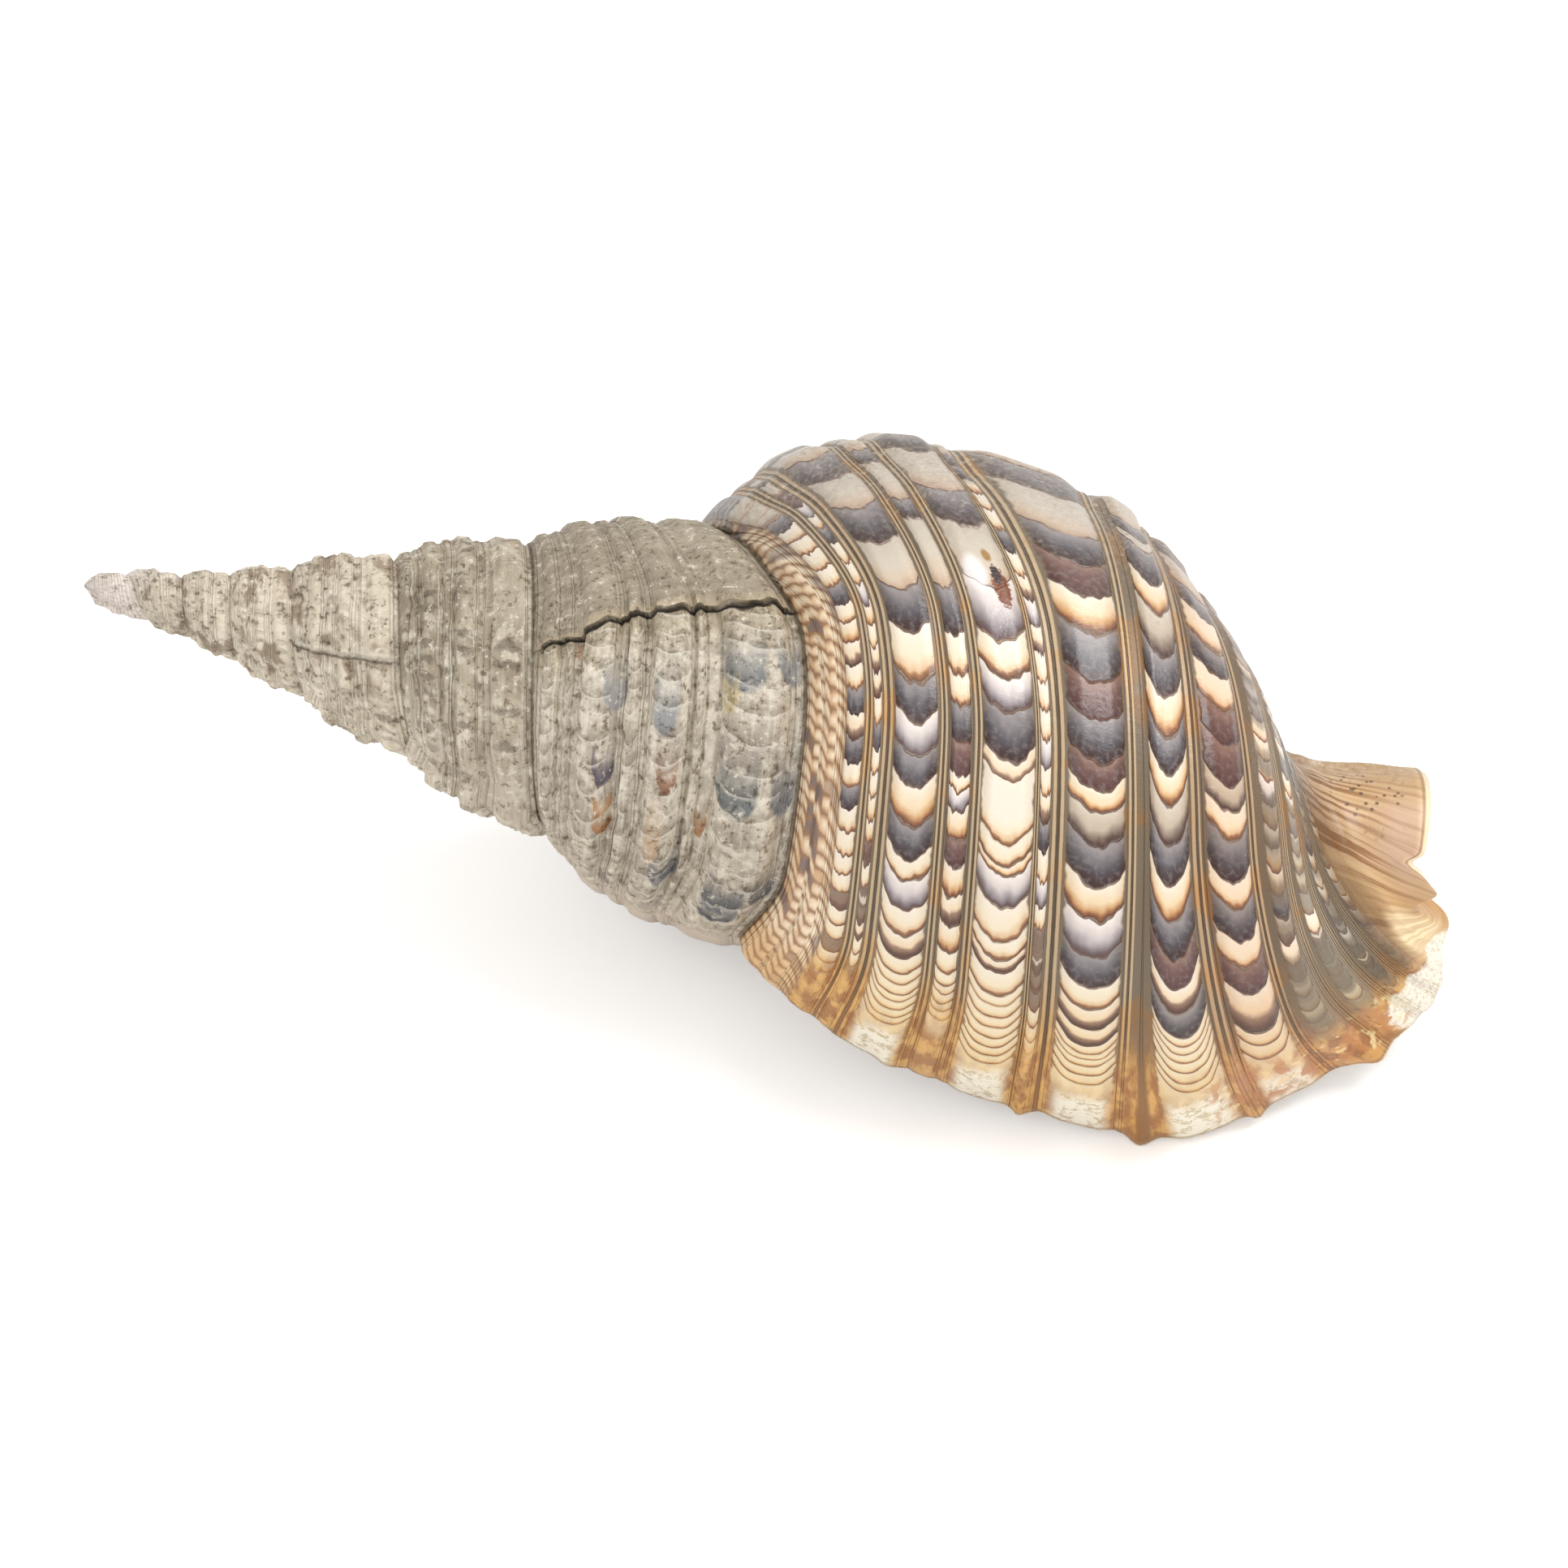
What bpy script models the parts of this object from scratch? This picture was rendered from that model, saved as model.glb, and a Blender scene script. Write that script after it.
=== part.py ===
"""Triton shell: one coiled wall with ribs, varices, a flared scalloped lip and an open siphonal canal.

Every point of the wall has two coordinates. AGE counts the turns back from the lip: 0 at the
lip, 8 at the tip of the spire. F runs along the growing edge: 0 at the suture above the
whorl, 1 where the next whorl covers it, 2 at the end of the canal. In the half-plane at its
own angle round the axis a point has a distance x from the tip and a radius r, in millimetres.
"""
import bpy
import bmesh
import numpy as np
from math import radians
from mathutils import Matrix, Vector
from mathutils.geometry import tessellate_polygon

NAME = "triton_shell"
MM = 0.001
TURNS = 8                  # turns from the lip to the tip
LIP_ANGLE = 200.0          # angle of the mouth plane round the axis, from +Y through +Z
ROLL = 14.0                # the shell rolls on to its lip, degrees about the axis
PITCH = 8.7                # the tip of the spire stands off the ground, degrees

ROWS = 36                  # rows of the mesh in one turn
COLUMNS = (29, 17, 10, 7, 5, 4, 3, 2)   # columns between the sutures, turn by turn
BASE_COLUMNS = 20          # columns from the last suture line to the end of the canal

# The upper suture of a whorl: age, x, r. Negative ages carry the line on past the lip.
SUTURE = [
    (-1.0, 239, 71.0), (-0.81, 224, 64.5), (-0.56, 203, 59), (-0.3, 180, 55), (0.0, 151, 47.5),
    (0.1, 157.5, 45.5), (0.2, 156, 43), (0.28, 152, 41), (0.36, 140, 39.2), (0.46, 128, 37),
    (0.7, 117, 34.5), (0.94, 108, 32.5), (1.2, 99.5, 29.5), (1.44, 91, 26.5), (1.94, 78, 22),
    (2.44, 64, 17.5), (3.19, 47, 12.6), (4.19, 33, 8.6), (5.19, 22.5, 5.8), (6.0, 14.5, 4.3),
    (6.45, 8.5, 3.5), (6.75, 3.4, 2.5), (6.9, 1.3, 1.5), (7.0, 0.4, 0.7), (7.5, 0.1, 0.2),
    (8.0, 0.0, 0.0),
]
# How far a whorl swells between its sutures, as a share of their distance.
SWELL = [
    (0.0, 0.09), (0.19, 0.165), (0.44, 0.205), (0.8, 0.22), (1.0, 0.10), (1.3, 0.08), (7.0, 0.12), (8.0, 0.2),
]
# The front of the last whorl: base, neck of the canal and end of the canal, as age, x, r.
BASE = [
    (0.0, 268, 57), (0.1, 260, 54), (0.19, 252, 50), (0.44, 231, 40.5), (0.75, 204, 38), (1.0, 178, 39),
    (1.4, 156, 31), (2.0, 122, 23), (3.0, 84, 15.5), (4.0, 57, 10.5),
]
NECK = [
    (0.0, 297, 29), (0.1, 281, 26), (0.19, 269, 21), (0.44, 255, 14), (0.75, 240, 12), (1.0, 218, 17),
    (1.4, 196, 13), (2.0, 155, 10), (3.0, 108, 7), (4.0, 74, 4.8),
]
TIP = [
    (0.0, 285, 5), (0.06, 286, 12), (0.19, 287, 20), (0.44, 286, 17), (0.6, 285, 9), (0.75, 283, 6),
    (1.0, 283, 6), (1.4, 240, 8), (2.0, 190, 6), (3.0, 130, 4), (4.0, 88, 3),
]
F_BASE, F_NECK, F_TIP = 1.35, 1.7, 2.0

# Spiral ribs and cords across a whorl: place, half width, height at the lip (mm).
RIBS = [
    (0.05, 0.022, 0.5), (0.105, 0.022, 0.6), (0.19, 0.03, 1.0), (0.262, 0.012, 0.4), (0.383, 0.066, 1.9),
    (0.463, 0.009, 0.3), (0.511, 0.029, 1.1), (0.56, 0.01, 0.4), (0.643, 0.071, 2.2), (0.743, 0.014, 0.8),
    (0.878, 0.078, 2.3), (0.974, 0.01, 0.4), (1.17, 0.09, 2.2), (1.285, 0.015, 0.7), (1.376, 0.062, 1.9),
    (1.505, 0.036, 1.4), (1.592, 0.028, 1.1), (1.66, 0.02, 0.9), (1.72, 0.018, 0.7), (1.775, 0.016, 0.6),
    (1.83, 0.014, 0.4),
]
# How far the ribs lie off their places at the lip, and how they draw together on the base.
SLIP = [(0.0, 0.0), (0.22, 0.0), (0.28, 0.022), (0.36, 0.095), (0.42, 0.145), (1.0, 0.11), (8.0, 0.10)]
SPREAD = [(0.0, 1.0), (0.2, 0.62), (1.0, 0.62)]
POINTS = [(0.30, 0.8), (0.44, 1.0), (0.745, 1.8), (1.02, 2.2), (1.29, 2.0), (1.53, 2.6)]   # scallop points
WALL = 3.0                 # thickness of the wall (mm)
# The inner side of the hollow: over the whorl before, over the pillar, and its closed front end.
PARIETAL = [(0.0, 180, 41), (0.4, 158, 33), (1.0, 127, 25), (1.9, 98, 17.5), (2.9, 68, 12), (3.5, 54, 9.3)]
PILLAR = [(0.0, 219, 20), (0.4, 200, 14.5), (1.0, 160, 11.5), (1.9, 121, 9), (2.9, 84, 6), (3.5, 67, 4.8)]
HOLLOW_END = [(0.0, 262, 9), (0.4, 247, 9), (1.0, 190, 8), (1.9, 146, 6.5), (2.9, 102, 4.5), (3.5, 81, 3.6)]
INNER_KNOTS = (0.0, 0.42, 0.74, 1.0)   # places of the front end, pillar, whorl before and corner on it
DEPTH_STEPS = [0.0, 0.015, 0.04] + [0.08 + 0.08 * k for k in range(43)]   # ages of the hollow's sections


def smooth(knots, at):
    """Monotone cubic through (place, value) knots."""
    xs = np.array([k[0] for k in knots], float)
    ys = np.array([k[1] for k in knots], float)
    h = np.diff(xs)
    d = np.diff(ys) / h
    m = np.zeros(len(xs))
    same = d[:-1] * d[1:] > 0
    a = np.where(same, d[:-1], 1.0)
    b = np.where(same, d[1:], 1.0)
    w1 = 2 * h[1:] + h[:-1]
    w2 = h[1:] + 2 * h[:-1]
    m[1:-1] = np.where(same, (w1 + w2) / (w1 / a + w2 / b), 0.0)
    m[0] = d[0]
    m[-1] = d[-1]
    at = np.clip(at, xs[0], xs[-1])
    k = np.clip(np.searchsorted(xs, at, side="right") - 1, 0, len(h) - 1)
    s = (at - xs[k]) / h[k]
    return ((1 + 2 * s) * (1 - s) ** 2 * ys[k] + s * (1 - s) ** 2 * h[k] * m[k]
            + s * s * (3 - 2 * s) * ys[k + 1] + s * s * (s - 1) * h[k] * m[k + 1])


def track(table, age):
    """(x, r) of a line that is given at some ages."""
    x = smooth([(row[0], row[1]) for row in table], age)
    r = smooth([(row[0], row[2]) for row in table], age)
    return np.stack([x, r], -1)


def ramp(value, low, high):
    """0 below low, 1 above high, smooth between."""
    t = np.clip((value - low) / (high - low), 0, 1)
    return t * t * (3 - 2 * t)


def bell(value, width):
    return np.exp(-(value / width) ** 2)


def hermite(p0, p1, m0, m1, h, s):
    return ((1 + 2 * s) * (1 - s) ** 2 * p0 + s * (1 - s) ** 2 * h * m0
            + s * s * (3 - 2 * s) * p1 + s * s * (s - 1) * h * m1)


def side(age, f):
    """The wall between its two sutures: a chord swollen outwards."""
    upper = track(SUTURE, age)
    chord = track(SUTURE, age - 1) - upper
    across = np.stack([-chord[..., 1], chord[..., 0]], -1)
    swell = smooth(SWELL, age) * np.sin(np.pi * np.clip(f, 0, 1) ** 0.76)
    return upper + f[..., None] * chord + swell[..., None] * across


def front(age, f):
    """The wall from the lower suture line over the base and neck to the end of the canal.

    A fold with a corner and a roll stands between the lip and the canal, and a notch behind it.
    """
    one = np.ones_like(f)
    p = [track(SUTURE, age - 1), track(BASE, age), track(NECK, age), track(TIP, age)]
    k = [1.0, F_BASE, F_NECK, F_TIP]
    slope = [(p[i + 1] - p[i]) / (k[i + 1] - k[i]) for i in range(3)]
    m0 = (side(age, one) - side(age, one - 0.001)) / 0.001
    m1 = (slope[0] * (k[2] - k[1]) + slope[1] * (k[1] - k[0])) / (k[2] - k[0])
    m2 = (slope[1] * (k[3] - k[2]) + slope[2] * (k[2] - k[1])) / (k[3] - k[1])
    m = [m0, m1, m2, slope[2]]
    out = p[0]
    for i in range(3):
        h = k[i + 1] - k[i]
        s = np.clip((f - k[i]) / h, 0, 1)[..., None]
        out = np.where((f > k[i])[..., None], hermite(p[i], p[i + 1], m[i], m[i + 1], h, s), out)
    corner = 6.0 * bell(f - 1.9, 0.07) * (1 - ramp(age, 0.03, 0.13))
    roll = 6.0 * bell(f - 1.96, 0.09) * bell(age - 0.13, 0.032)
    notch = 3.0 * bell(f - 1.97, 0.06) * bell(age - 0.185, 0.012)
    out[..., 0] += corner + roll - notch
    return out


def smooth_wall(age, f):
    """(x, r) of the wall without its ribs."""
    return np.where((f > 1)[..., None], front(age, np.maximum(f, 1)), side(age, np.minimum(f, 1)))


def rib_place(age, f):
    """The ribs keep their distance from the lower suture, not from the upper one."""
    slip = smooth(SLIP, age)
    spread = smooth(SPREAD, age)
    beyond = np.maximum(f - 1, 0) ** spread
    return np.where(f > 1, 1 + beyond, f + slip * (1 - ramp(f, 0.6, 1.0)))


def old_edge(f):
    """Age of the old lip that stands on the last but one whorl."""
    return 1.232 + 0.13 * f - 0.06 * f * f + 0.003 * np.sin(21 * f) * ramp(f, 0.05, 0.2)


def relief(age, f):
    """Height of ribs, scallops and varices above the smooth wall (mm)."""
    g = rib_place(age, f)
    size = np.linalg.norm(track(SUTURE, age - 1) - track(SUTURE, age), axis=-1) / 92.0
    ribs = np.zeros_like(g)
    for place, half, height in RIBS:
        ribs = ribs + height * (1 - ramp(np.abs(g - place), 0.45 * half, 1.25 * half))
    ribs = ribs * size * (0.45 + 0.55 * ramp(age, 0.0, 0.05))
    points = sum(high * bell(g - place, 0.03) for place, high in POINTS) * bell(age, 0.022)
    flare = 1.2 * bell(age, 0.02)
    low = 1.3 * bell(age - 0.415, 0.014)
    gap = age - old_edge(f)
    step = np.where(gap > 0, 1.0 * np.exp(-gap / 0.035), -0.5 * np.exp(gap / 0.03))
    early = 2.2 * bell(age - 2.03, 0.02) + 1.0 * bell(age - 2.72, 0.03) + 0.7 * bell(age - 3.4, 0.03)
    total = ribs + points + flare + low + step + early
    hem = ramp(f, 0.0, 0.03)
    closed = 1 - ramp(f, 0.96, 1.0) * ramp(age, 0.90, 0.99) * (f <= 1)
    open_end = (1 - ramp(f, 1.86, 1.98)) * (1 - (f > 1) * ramp(age, 0.90, 0.99))
    return total * hem * closed * open_end


def outward(age, f):
    """Unit direction out of the wall in the half-plane."""
    e = 0.004
    a = smooth_wall(age, np.clip(f - e, 0.0, 2.0))
    b = smooth_wall(age, np.clip(f + e, 0.0, 2.0))
    d = b - a
    n = np.stack([-d[..., 1], d[..., 0]], -1)
    return n / np.maximum(np.linalg.norm(n, axis=-1, keepdims=True), 1e-9)


def wall(age, f):
    age, f = np.broadcast_arrays(np.asarray(age, float), np.asarray(f, float))
    return smooth_wall(age, f) + relief(age, f)[..., None] * outward(age, f)


def place(age, xr):
    """Points of the half-plane at an age, in metres round the axis."""
    phi = np.radians(LIP_ANGLE - 360.0 * np.asarray(age, float))
    x = xr[..., 0]
    r = xr[..., 1]
    return np.stack([x, r * np.cos(phi), r * np.sin(phi)], -1) * MM


def zip_rows(faces, a, b):
    """Faces between two chains of vertices, quads where they have the same count."""
    if len(a) == len(b):
        for j in range(len(a) - 1):
            quad = [a[j], a[j + 1], b[j + 1], b[j]]
            face = [v for k, v in enumerate(quad) if v != quad[k - 1]]
            if len(face) > 2:
                faces.append(face)
        return
    i = 0
    j = 0
    while i < len(a) - 1 or j < len(b) - 1:
        ahead = (i + 1) / (len(a) - 1) <= (j + 1) / (len(b) - 1)
        if j == len(b) - 1 or (ahead and i < len(a) - 1):
            if len({a[i], a[i + 1], b[j]}) == 3:
                faces.append([a[i], a[i + 1], b[j]])
            i += 1
        else:
            if len({a[i], b[j + 1], b[j]}) == 3:
                faces.append([a[i], b[j + 1], b[j]])
            j += 1


def fan(faces, points, loop):
    """Close a loop with triangles round its middle."""
    middle = len(points)
    points.append(np.mean([points[v] for v in loop], axis=0))
    for a, b in zip(loop, loop[1:] + loop[:1]):
        faces.append([a, b, middle])


def body_mesh():
    """The outside of the whole coil, closed by flat faces over the mouth and the canal's end."""
    points = []
    faces = []
    steps = np.linspace(0, 1, ROWS + 1)
    steps = steps - 0.35 / (2 * np.pi) * np.sin(2 * np.pi * steps)
    age_of = [k + s for k in range(TURNS) for s in steps[:-1]] + [float(TURNS)]

    def add(age, fs):
        start = len(points)
        fs = np.asarray(fs, float)
        points.extend(place(np.full(len(fs), age), wall(np.full(len(fs), age), fs)))
        return list(range(start, len(points)))

    suture = [add(age, [0.0])[0] for age in age_of]
    chains = []
    for i, age in enumerate(age_of):
        count = COLUMNS[min(i // ROWS, TURNS - 1)]
        fs = np.linspace(0, 1, count + 1)
        inner = add(age, fs[1:-1])
        last = suture[i - ROWS] if i >= ROWS else add(age, [1.0])[0]
        chains.append([suture[i]] + inner + [last])
    for a, b in zip(chains, chains[1:]):
        zip_rows(faces, a, b)
    fan(faces, points, suture[-ROWS - 1:] + chains[-1][1:-1])
    fs = 1 + np.linspace(0, 1, BASE_COLUMNS + 1)
    base = []
    for i in range(ROWS + 1):
        first = chains[i][-1] if i < ROWS else suture[0]
        base.append([first] + add(age_of[i], fs[1:]))
    for a, b in zip(base, base[1:]):
        zip_rows(faces, a, b)
    fan(faces, points, [row[-1] for row in base])
    mouth = chains[0] + base[0][1:] + base[-1][:0:-1]
    level = Matrix.Rotation(-radians(LIP_ANGLE), 3, "X")
    flat = [level @ Vector(points[v]) for v in mouth]
    for tri in tessellate_polygon([[Vector((p.x, p.y, 0.0)) for p in flat]]):
        faces.append([mouth[k] for k in tri])
    return points, faces


def hollow_section(age, count_out, count_in):
    """Loop of (x, r) of the hollow inside the whorl at an age."""
    open_canal = 1 - ramp(age, 0.38, 0.52)
    end = 1.62 + 0.38 * open_canal
    half = count_out // 2 + 1
    f = np.concatenate([np.linspace(0.05, 1.3, half), np.linspace(1.3, end, count_out - half + 1)[1:]])
    ages = np.full(count_out, float(age))
    thick = WALL * (0.8 + 0.4 * ramp(ages, 0.0, 0.15) - 0.5 * ramp(ages, 0.8, 3.0))
    thick = thick * (1 - 0.35 * ramp(f, 1.75, 1.95)) * (1 + 0.35 * bell(f - 1.62, 0.16))
    inward = 0.6 * relief(ages, f) * bell(ages, 0.05) - thick
    outer = smooth_wall(ages, f) + inward[:, None] * outward(ages, f)
    at_age = np.array(float(age))
    corner = track(SUTURE, at_age) + np.array([4.5, -1.5]) * (1 - 0.55 * ramp(age, 1.0, 3.0))
    parietal = track(PARIETAL, at_age)
    pillar = track(PILLAR, at_age)
    closed_end = track(HOLLOW_END, at_age)
    last = closed_end * (1 - open_canal) + np.array([300.0, 3.5]) * open_canal
    knots = [last, pillar, parietal, corner]
    u = np.linspace(0, 1, count_in)
    inner = np.stack([smooth([(t, knot[c]) for t, knot in zip(INNER_KNOTS, knots)], u) for c in (0, 1)], -1)
    mouth = outer[-1] * (1 - open_canal) + np.array([300.0, outer[-1][1]]) * open_canal
    return np.vstack([outer[:-1], mouth[None], inner])


def hollow_mesh():
    """The hollow of the last whorl as one solid that runs out through the mouth."""
    out = np.array([0.0, -np.sin(radians(LIP_ANGLE)), np.cos(radians(LIP_ANGLE))]) * MM
    loops = [place(0.0, hollow_section(0.0, 20, 9)) + 4 * out]
    for age in DEPTH_STEPS:
        loops.append(place(age, hollow_section(age, 20, 9)))
    points = [p for loop in loops for p in loop]
    count = len(loops[0])
    faces = []
    for i in range(len(loops) - 1):
        for j in range(count):
            k = (j + 1) % count
            faces.append([i * count + j, i * count + k, (i + 1) * count + k, (i + 1) * count + j])
    fan(faces, points, list(range(count)))
    fan(faces, points, list(range((len(loops) - 1) * count, len(loops) * count)))
    return points, faces


def add_object(name, points, faces):
    mesh = bpy.data.meshes.new(name)
    bm = bmesh.new()
    verts = [bm.verts.new(p) for p in points]
    for face in faces:
        bm.faces.new([verts[v] for v in face])
    loose = [v for v in bm.verts if not v.link_faces]
    bmesh.ops.delete(bm, geom=loose, context="VERTS")
    bmesh.ops.recalc_face_normals(bm, faces=bm.faces)
    if bm.calc_volume(signed=True) < 0:
        bmesh.ops.reverse_faces(bm, faces=bm.faces)
    bmesh.ops.triangulate(bm, faces=bm.faces)
    bm.to_mesh(mesh)
    bm.free()
    thing = bpy.data.objects.new(name, mesh)
    bpy.context.scene.collection.objects.link(thing)
    return thing


def rest(points):
    """Turn the shell on to its lip and stand it at the origin."""
    turn = Matrix.Rotation(radians(PITCH), 3, "Y") @ Matrix.Rotation(radians(ROLL), 3, "X")
    p = np.asarray(points) @ np.array(turn).T
    low = p.min(axis=0)
    high = p.max(axis=0)
    shift = np.array([(low[0] + high[0]) / 2, (low[1] + high[1]) / 2, low[2]])
    return p - shift, turn, shift


def shell_material():
    material = bpy.data.materials.new("shell_wall")
    material.use_nodes = True
    shader = material.node_tree.nodes["Principled BSDF"]
    shader.inputs["Base Color"].default_value = (0.50, 0.39, 0.27, 1.0)
    shader.inputs["Roughness"].default_value = 0.38
    material.diffuse_color = (0.50, 0.39, 0.27, 1.0)
    return material


def main():
    for old in list(bpy.data.objects):
        bpy.data.objects.remove(old, do_unlink=True)
    points, faces = body_mesh()
    hollow_points, hollow_faces = hollow_mesh()
    points, turn, shift = rest(points)
    hollow_points = np.asarray(hollow_points) @ np.array(turn).T - shift
    shell = add_object(NAME, points, faces)
    hollow = add_object("hollow", hollow_points, hollow_faces)
    cut = shell.modifiers.new("hollow", "BOOLEAN")
    cut.operation = "DIFFERENCE"
    cut.solver = "EXACT"
    cut.object = hollow
    hollow.hide_render = True
    hollow.hide_viewport = False
    shell.data.materials.append(shell_material())


main()
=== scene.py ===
"""Triton shell, the looks: a fine coiled wall with its ribs, varices, lip and canal, and the shell's colours.

The shape follows the same growth law as the solid. AGE counts the turns back from the lip, 0 at the
lip and 8 at the tip of the spire. F runs along the growing edge: 0 at the suture above the whorl, 1
where the next whorl covers it, 2 at the end of the canal. In the half-plane at its own angle round
the axis a point has a distance x from the tip and a radius r, in millimetres.
"""
from math import radians

import bmesh
import bpy
import numpy as np
from mathutils import Matrix, Vector
from mathutils.geometry import tessellate_polygon


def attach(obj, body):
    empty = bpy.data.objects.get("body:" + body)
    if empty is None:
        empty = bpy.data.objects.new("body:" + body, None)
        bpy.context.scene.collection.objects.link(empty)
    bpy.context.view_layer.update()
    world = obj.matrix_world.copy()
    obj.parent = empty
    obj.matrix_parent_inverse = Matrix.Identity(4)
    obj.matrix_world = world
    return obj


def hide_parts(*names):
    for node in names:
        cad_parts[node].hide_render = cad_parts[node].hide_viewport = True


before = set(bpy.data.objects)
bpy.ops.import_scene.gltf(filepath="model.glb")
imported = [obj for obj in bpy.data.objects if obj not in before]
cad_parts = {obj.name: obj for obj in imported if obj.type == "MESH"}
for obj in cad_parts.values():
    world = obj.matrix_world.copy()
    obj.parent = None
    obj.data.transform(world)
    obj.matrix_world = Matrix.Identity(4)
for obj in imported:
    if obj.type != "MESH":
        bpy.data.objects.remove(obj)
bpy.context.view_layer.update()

NODE = "triton_shell"
MM = 0.001
TURNS = 8                  # turns from the lip to the tip
LIP_ANGLE = 200.0          # angle of the mouth plane round the axis, from +Y through +Z
ROLL = 14.0                # the shell rolls on to its lip, degrees about the axis
PITCH = 8.7                # the tip of the spire stands off the ground, degrees
REST = Matrix.Rotation(radians(PITCH), 3, "Y") @ Matrix.Rotation(radians(ROLL), 3, "X")

ROWS = 176                 # rows of the mesh in one turn
SPIRE_COLUMNS = (70, 38, 26, 18, 12, 8, 5)   # columns of the whorls behind the last one
CROWDING = 0.35            # rows stand closer on the side that is seen
ROW_GAP = 0.0012           # least distance of an even row from a special one
RIB_STEP = 0.0085          # columns on the last whorl, across a rib and across a groove
GROOVE_STEP = 0.0095
LIP_ROWS = (0.0008, 0.002, 0.004)            # rows close behind the lip, which round its edge
OLD_LIP = 1.232            # age of the old lip at the upper suture
OLD_LIP_ROW = 0.0005       # half the distance of the two rows on either side of it
LIP_SPAN = 92.0            # distance of the sutures at the lip (mm)
COVERED = (0.90, 0.99)     # ages over which a whorl goes in behind the mouth
BEYOND = 300.0             # x that is beyond the end of the canal (mm)

# The upper suture of a whorl: age, x, r. Negative ages carry the line on past the lip.
SUTURE = [
    (-1.0, 239, 71.0), (-0.81, 224, 64.5), (-0.56, 203, 59), (-0.3, 180, 55), (0.0, 151, 47.5),
    (0.1, 157.5, 45.5), (0.2, 156, 43), (0.28, 152, 41), (0.36, 140, 39.2), (0.46, 128, 37),
    (0.7, 117, 34.5), (0.94, 108, 32.5), (1.2, 99.5, 29.5), (1.44, 91, 26.5), (1.94, 78, 22),
    (2.44, 64, 17.5), (3.19, 47, 12.6), (4.19, 33, 8.6), (5.19, 22.5, 5.8), (6.0, 14.5, 4.3),
    (6.45, 8.5, 3.5), (6.75, 3.4, 2.5), (6.9, 1.3, 1.5), (7.0, 0.4, 0.7), (7.5, 0.1, 0.2),
    (8.0, 0.0, 0.0),
]
# How far a whorl swells between its sutures, as a share of their distance.
SWELL = [
    (0.0, 0.09), (0.19, 0.165), (0.44, 0.205), (0.8, 0.22), (1.0, 0.10), (1.3, 0.08), (7.0, 0.12), (8.0, 0.2),
]
# The front of the last whorl: base, neck of the canal and end of the canal, as age, x, r.
BASE = [
    (0.0, 268, 57), (0.1, 260, 54), (0.19, 252, 50), (0.44, 231, 40.5), (0.75, 204, 38), (1.0, 178, 39),
    (1.4, 156, 31), (2.0, 122, 23), (3.0, 84, 15.5), (4.0, 57, 10.5),
]
NECK = [
    (0.0, 297, 29), (0.1, 281, 26), (0.19, 269, 21), (0.44, 255, 14), (0.75, 240, 12), (1.0, 218, 17),
    (1.4, 196, 13), (2.0, 155, 10), (3.0, 108, 7), (4.0, 74, 4.8),
]
TIP = [
    (0.0, 285, 5), (0.06, 286, 12), (0.19, 287, 20), (0.44, 286, 17), (0.6, 285, 9), (0.75, 283, 6),
    (1.0, 283, 6), (1.4, 240, 8), (2.0, 190, 6), (3.0, 130, 4), (4.0, 88, 3),
]
F_BASE, F_NECK, F_TIP = 1.35, 1.7, 2.0

# Spiral ribs and cords across a whorl: place, half width, height at the lip (mm).
RIBS = [
    (0.05, 0.022, 0.5), (0.105, 0.022, 0.6), (0.19, 0.03, 1.0), (0.262, 0.012, 0.4), (0.383, 0.066, 1.9),
    (0.463, 0.009, 0.3), (0.511, 0.029, 1.1), (0.56, 0.01, 0.4), (0.643, 0.071, 2.2), (0.743, 0.014, 0.8),
    (0.878, 0.078, 2.3), (0.974, 0.01, 0.4), (1.17, 0.09, 2.2), (1.285, 0.015, 0.7), (1.376, 0.062, 1.9),
    (1.505, 0.036, 1.4), (1.592, 0.028, 1.1), (1.66, 0.02, 0.9), (1.72, 0.018, 0.7), (1.775, 0.016, 0.6),
    (1.83, 0.014, 0.4),
]
# How far the ribs lie off their places at the lip, and how they draw together on the base.
SLIP = [(0.0, 0.0), (0.22, 0.0), (0.28, 0.022), (0.36, 0.095), (0.42, 0.145), (1.0, 0.11), (8.0, 0.10)]
SPREAD = [(0.0, 1.0), (0.2, 0.62), (1.0, 0.62)]
# Ridges across the last whorl and, left by older lips, on the spire: age, width in turns, height (mm).
LOW_RIDGE = (0.415, 0.014, 1.3)
OLD_RIDGES = [(2.03, 0.02, 2.2), (2.72, 0.03, 1.0), (3.4, 0.03, 0.7)]
# Points of the scalloped lip: place and height (mm).
POINTS = [(0.30, 0.8), (0.44, 1.0), (0.745, 1.8), (1.02, 2.2), (1.29, 2.0), (1.53, 2.6)]
WALL = 3.0                 # thickness of the wall (mm)
FOLLOW = 0.35              # columns beyond this place run along the ribs

# The inner side of the hollow: over the whorl before, over the pillar, and its closed front end.
PARIETAL = [(0.0, 180, 41), (0.4, 158, 33), (1.0, 127, 25), (1.9, 98, 17.5), (2.9, 68, 12), (3.5, 54, 9.3)]
PILLAR = [(0.0, 219, 20), (0.4, 200, 14.5), (1.0, 160, 11.5), (1.9, 121, 9), (2.9, 84, 6), (3.5, 67, 4.8)]
HOLLOW_END = [(0.0, 262, 9), (0.4, 247, 9), (1.0, 190, 8), (1.9, 146, 6.5), (2.9, 102, 4.5), (3.5, 81, 3.6)]
INNER_KNOTS = (0.0, 0.42, 0.74, 1.0)   # places of the front end, pillar, whorl before and corner on it
HOLLOW_OUT = 96            # points across the outer and the inner side of the hollow
HOLLOW_IN = 40
HOLLOW_AGES = np.concatenate([
    np.linspace(0, 0.06, 9), np.linspace(0.06, 0.56, 43)[1:], np.linspace(0.56, 3.44, 77)[1:]])


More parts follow.
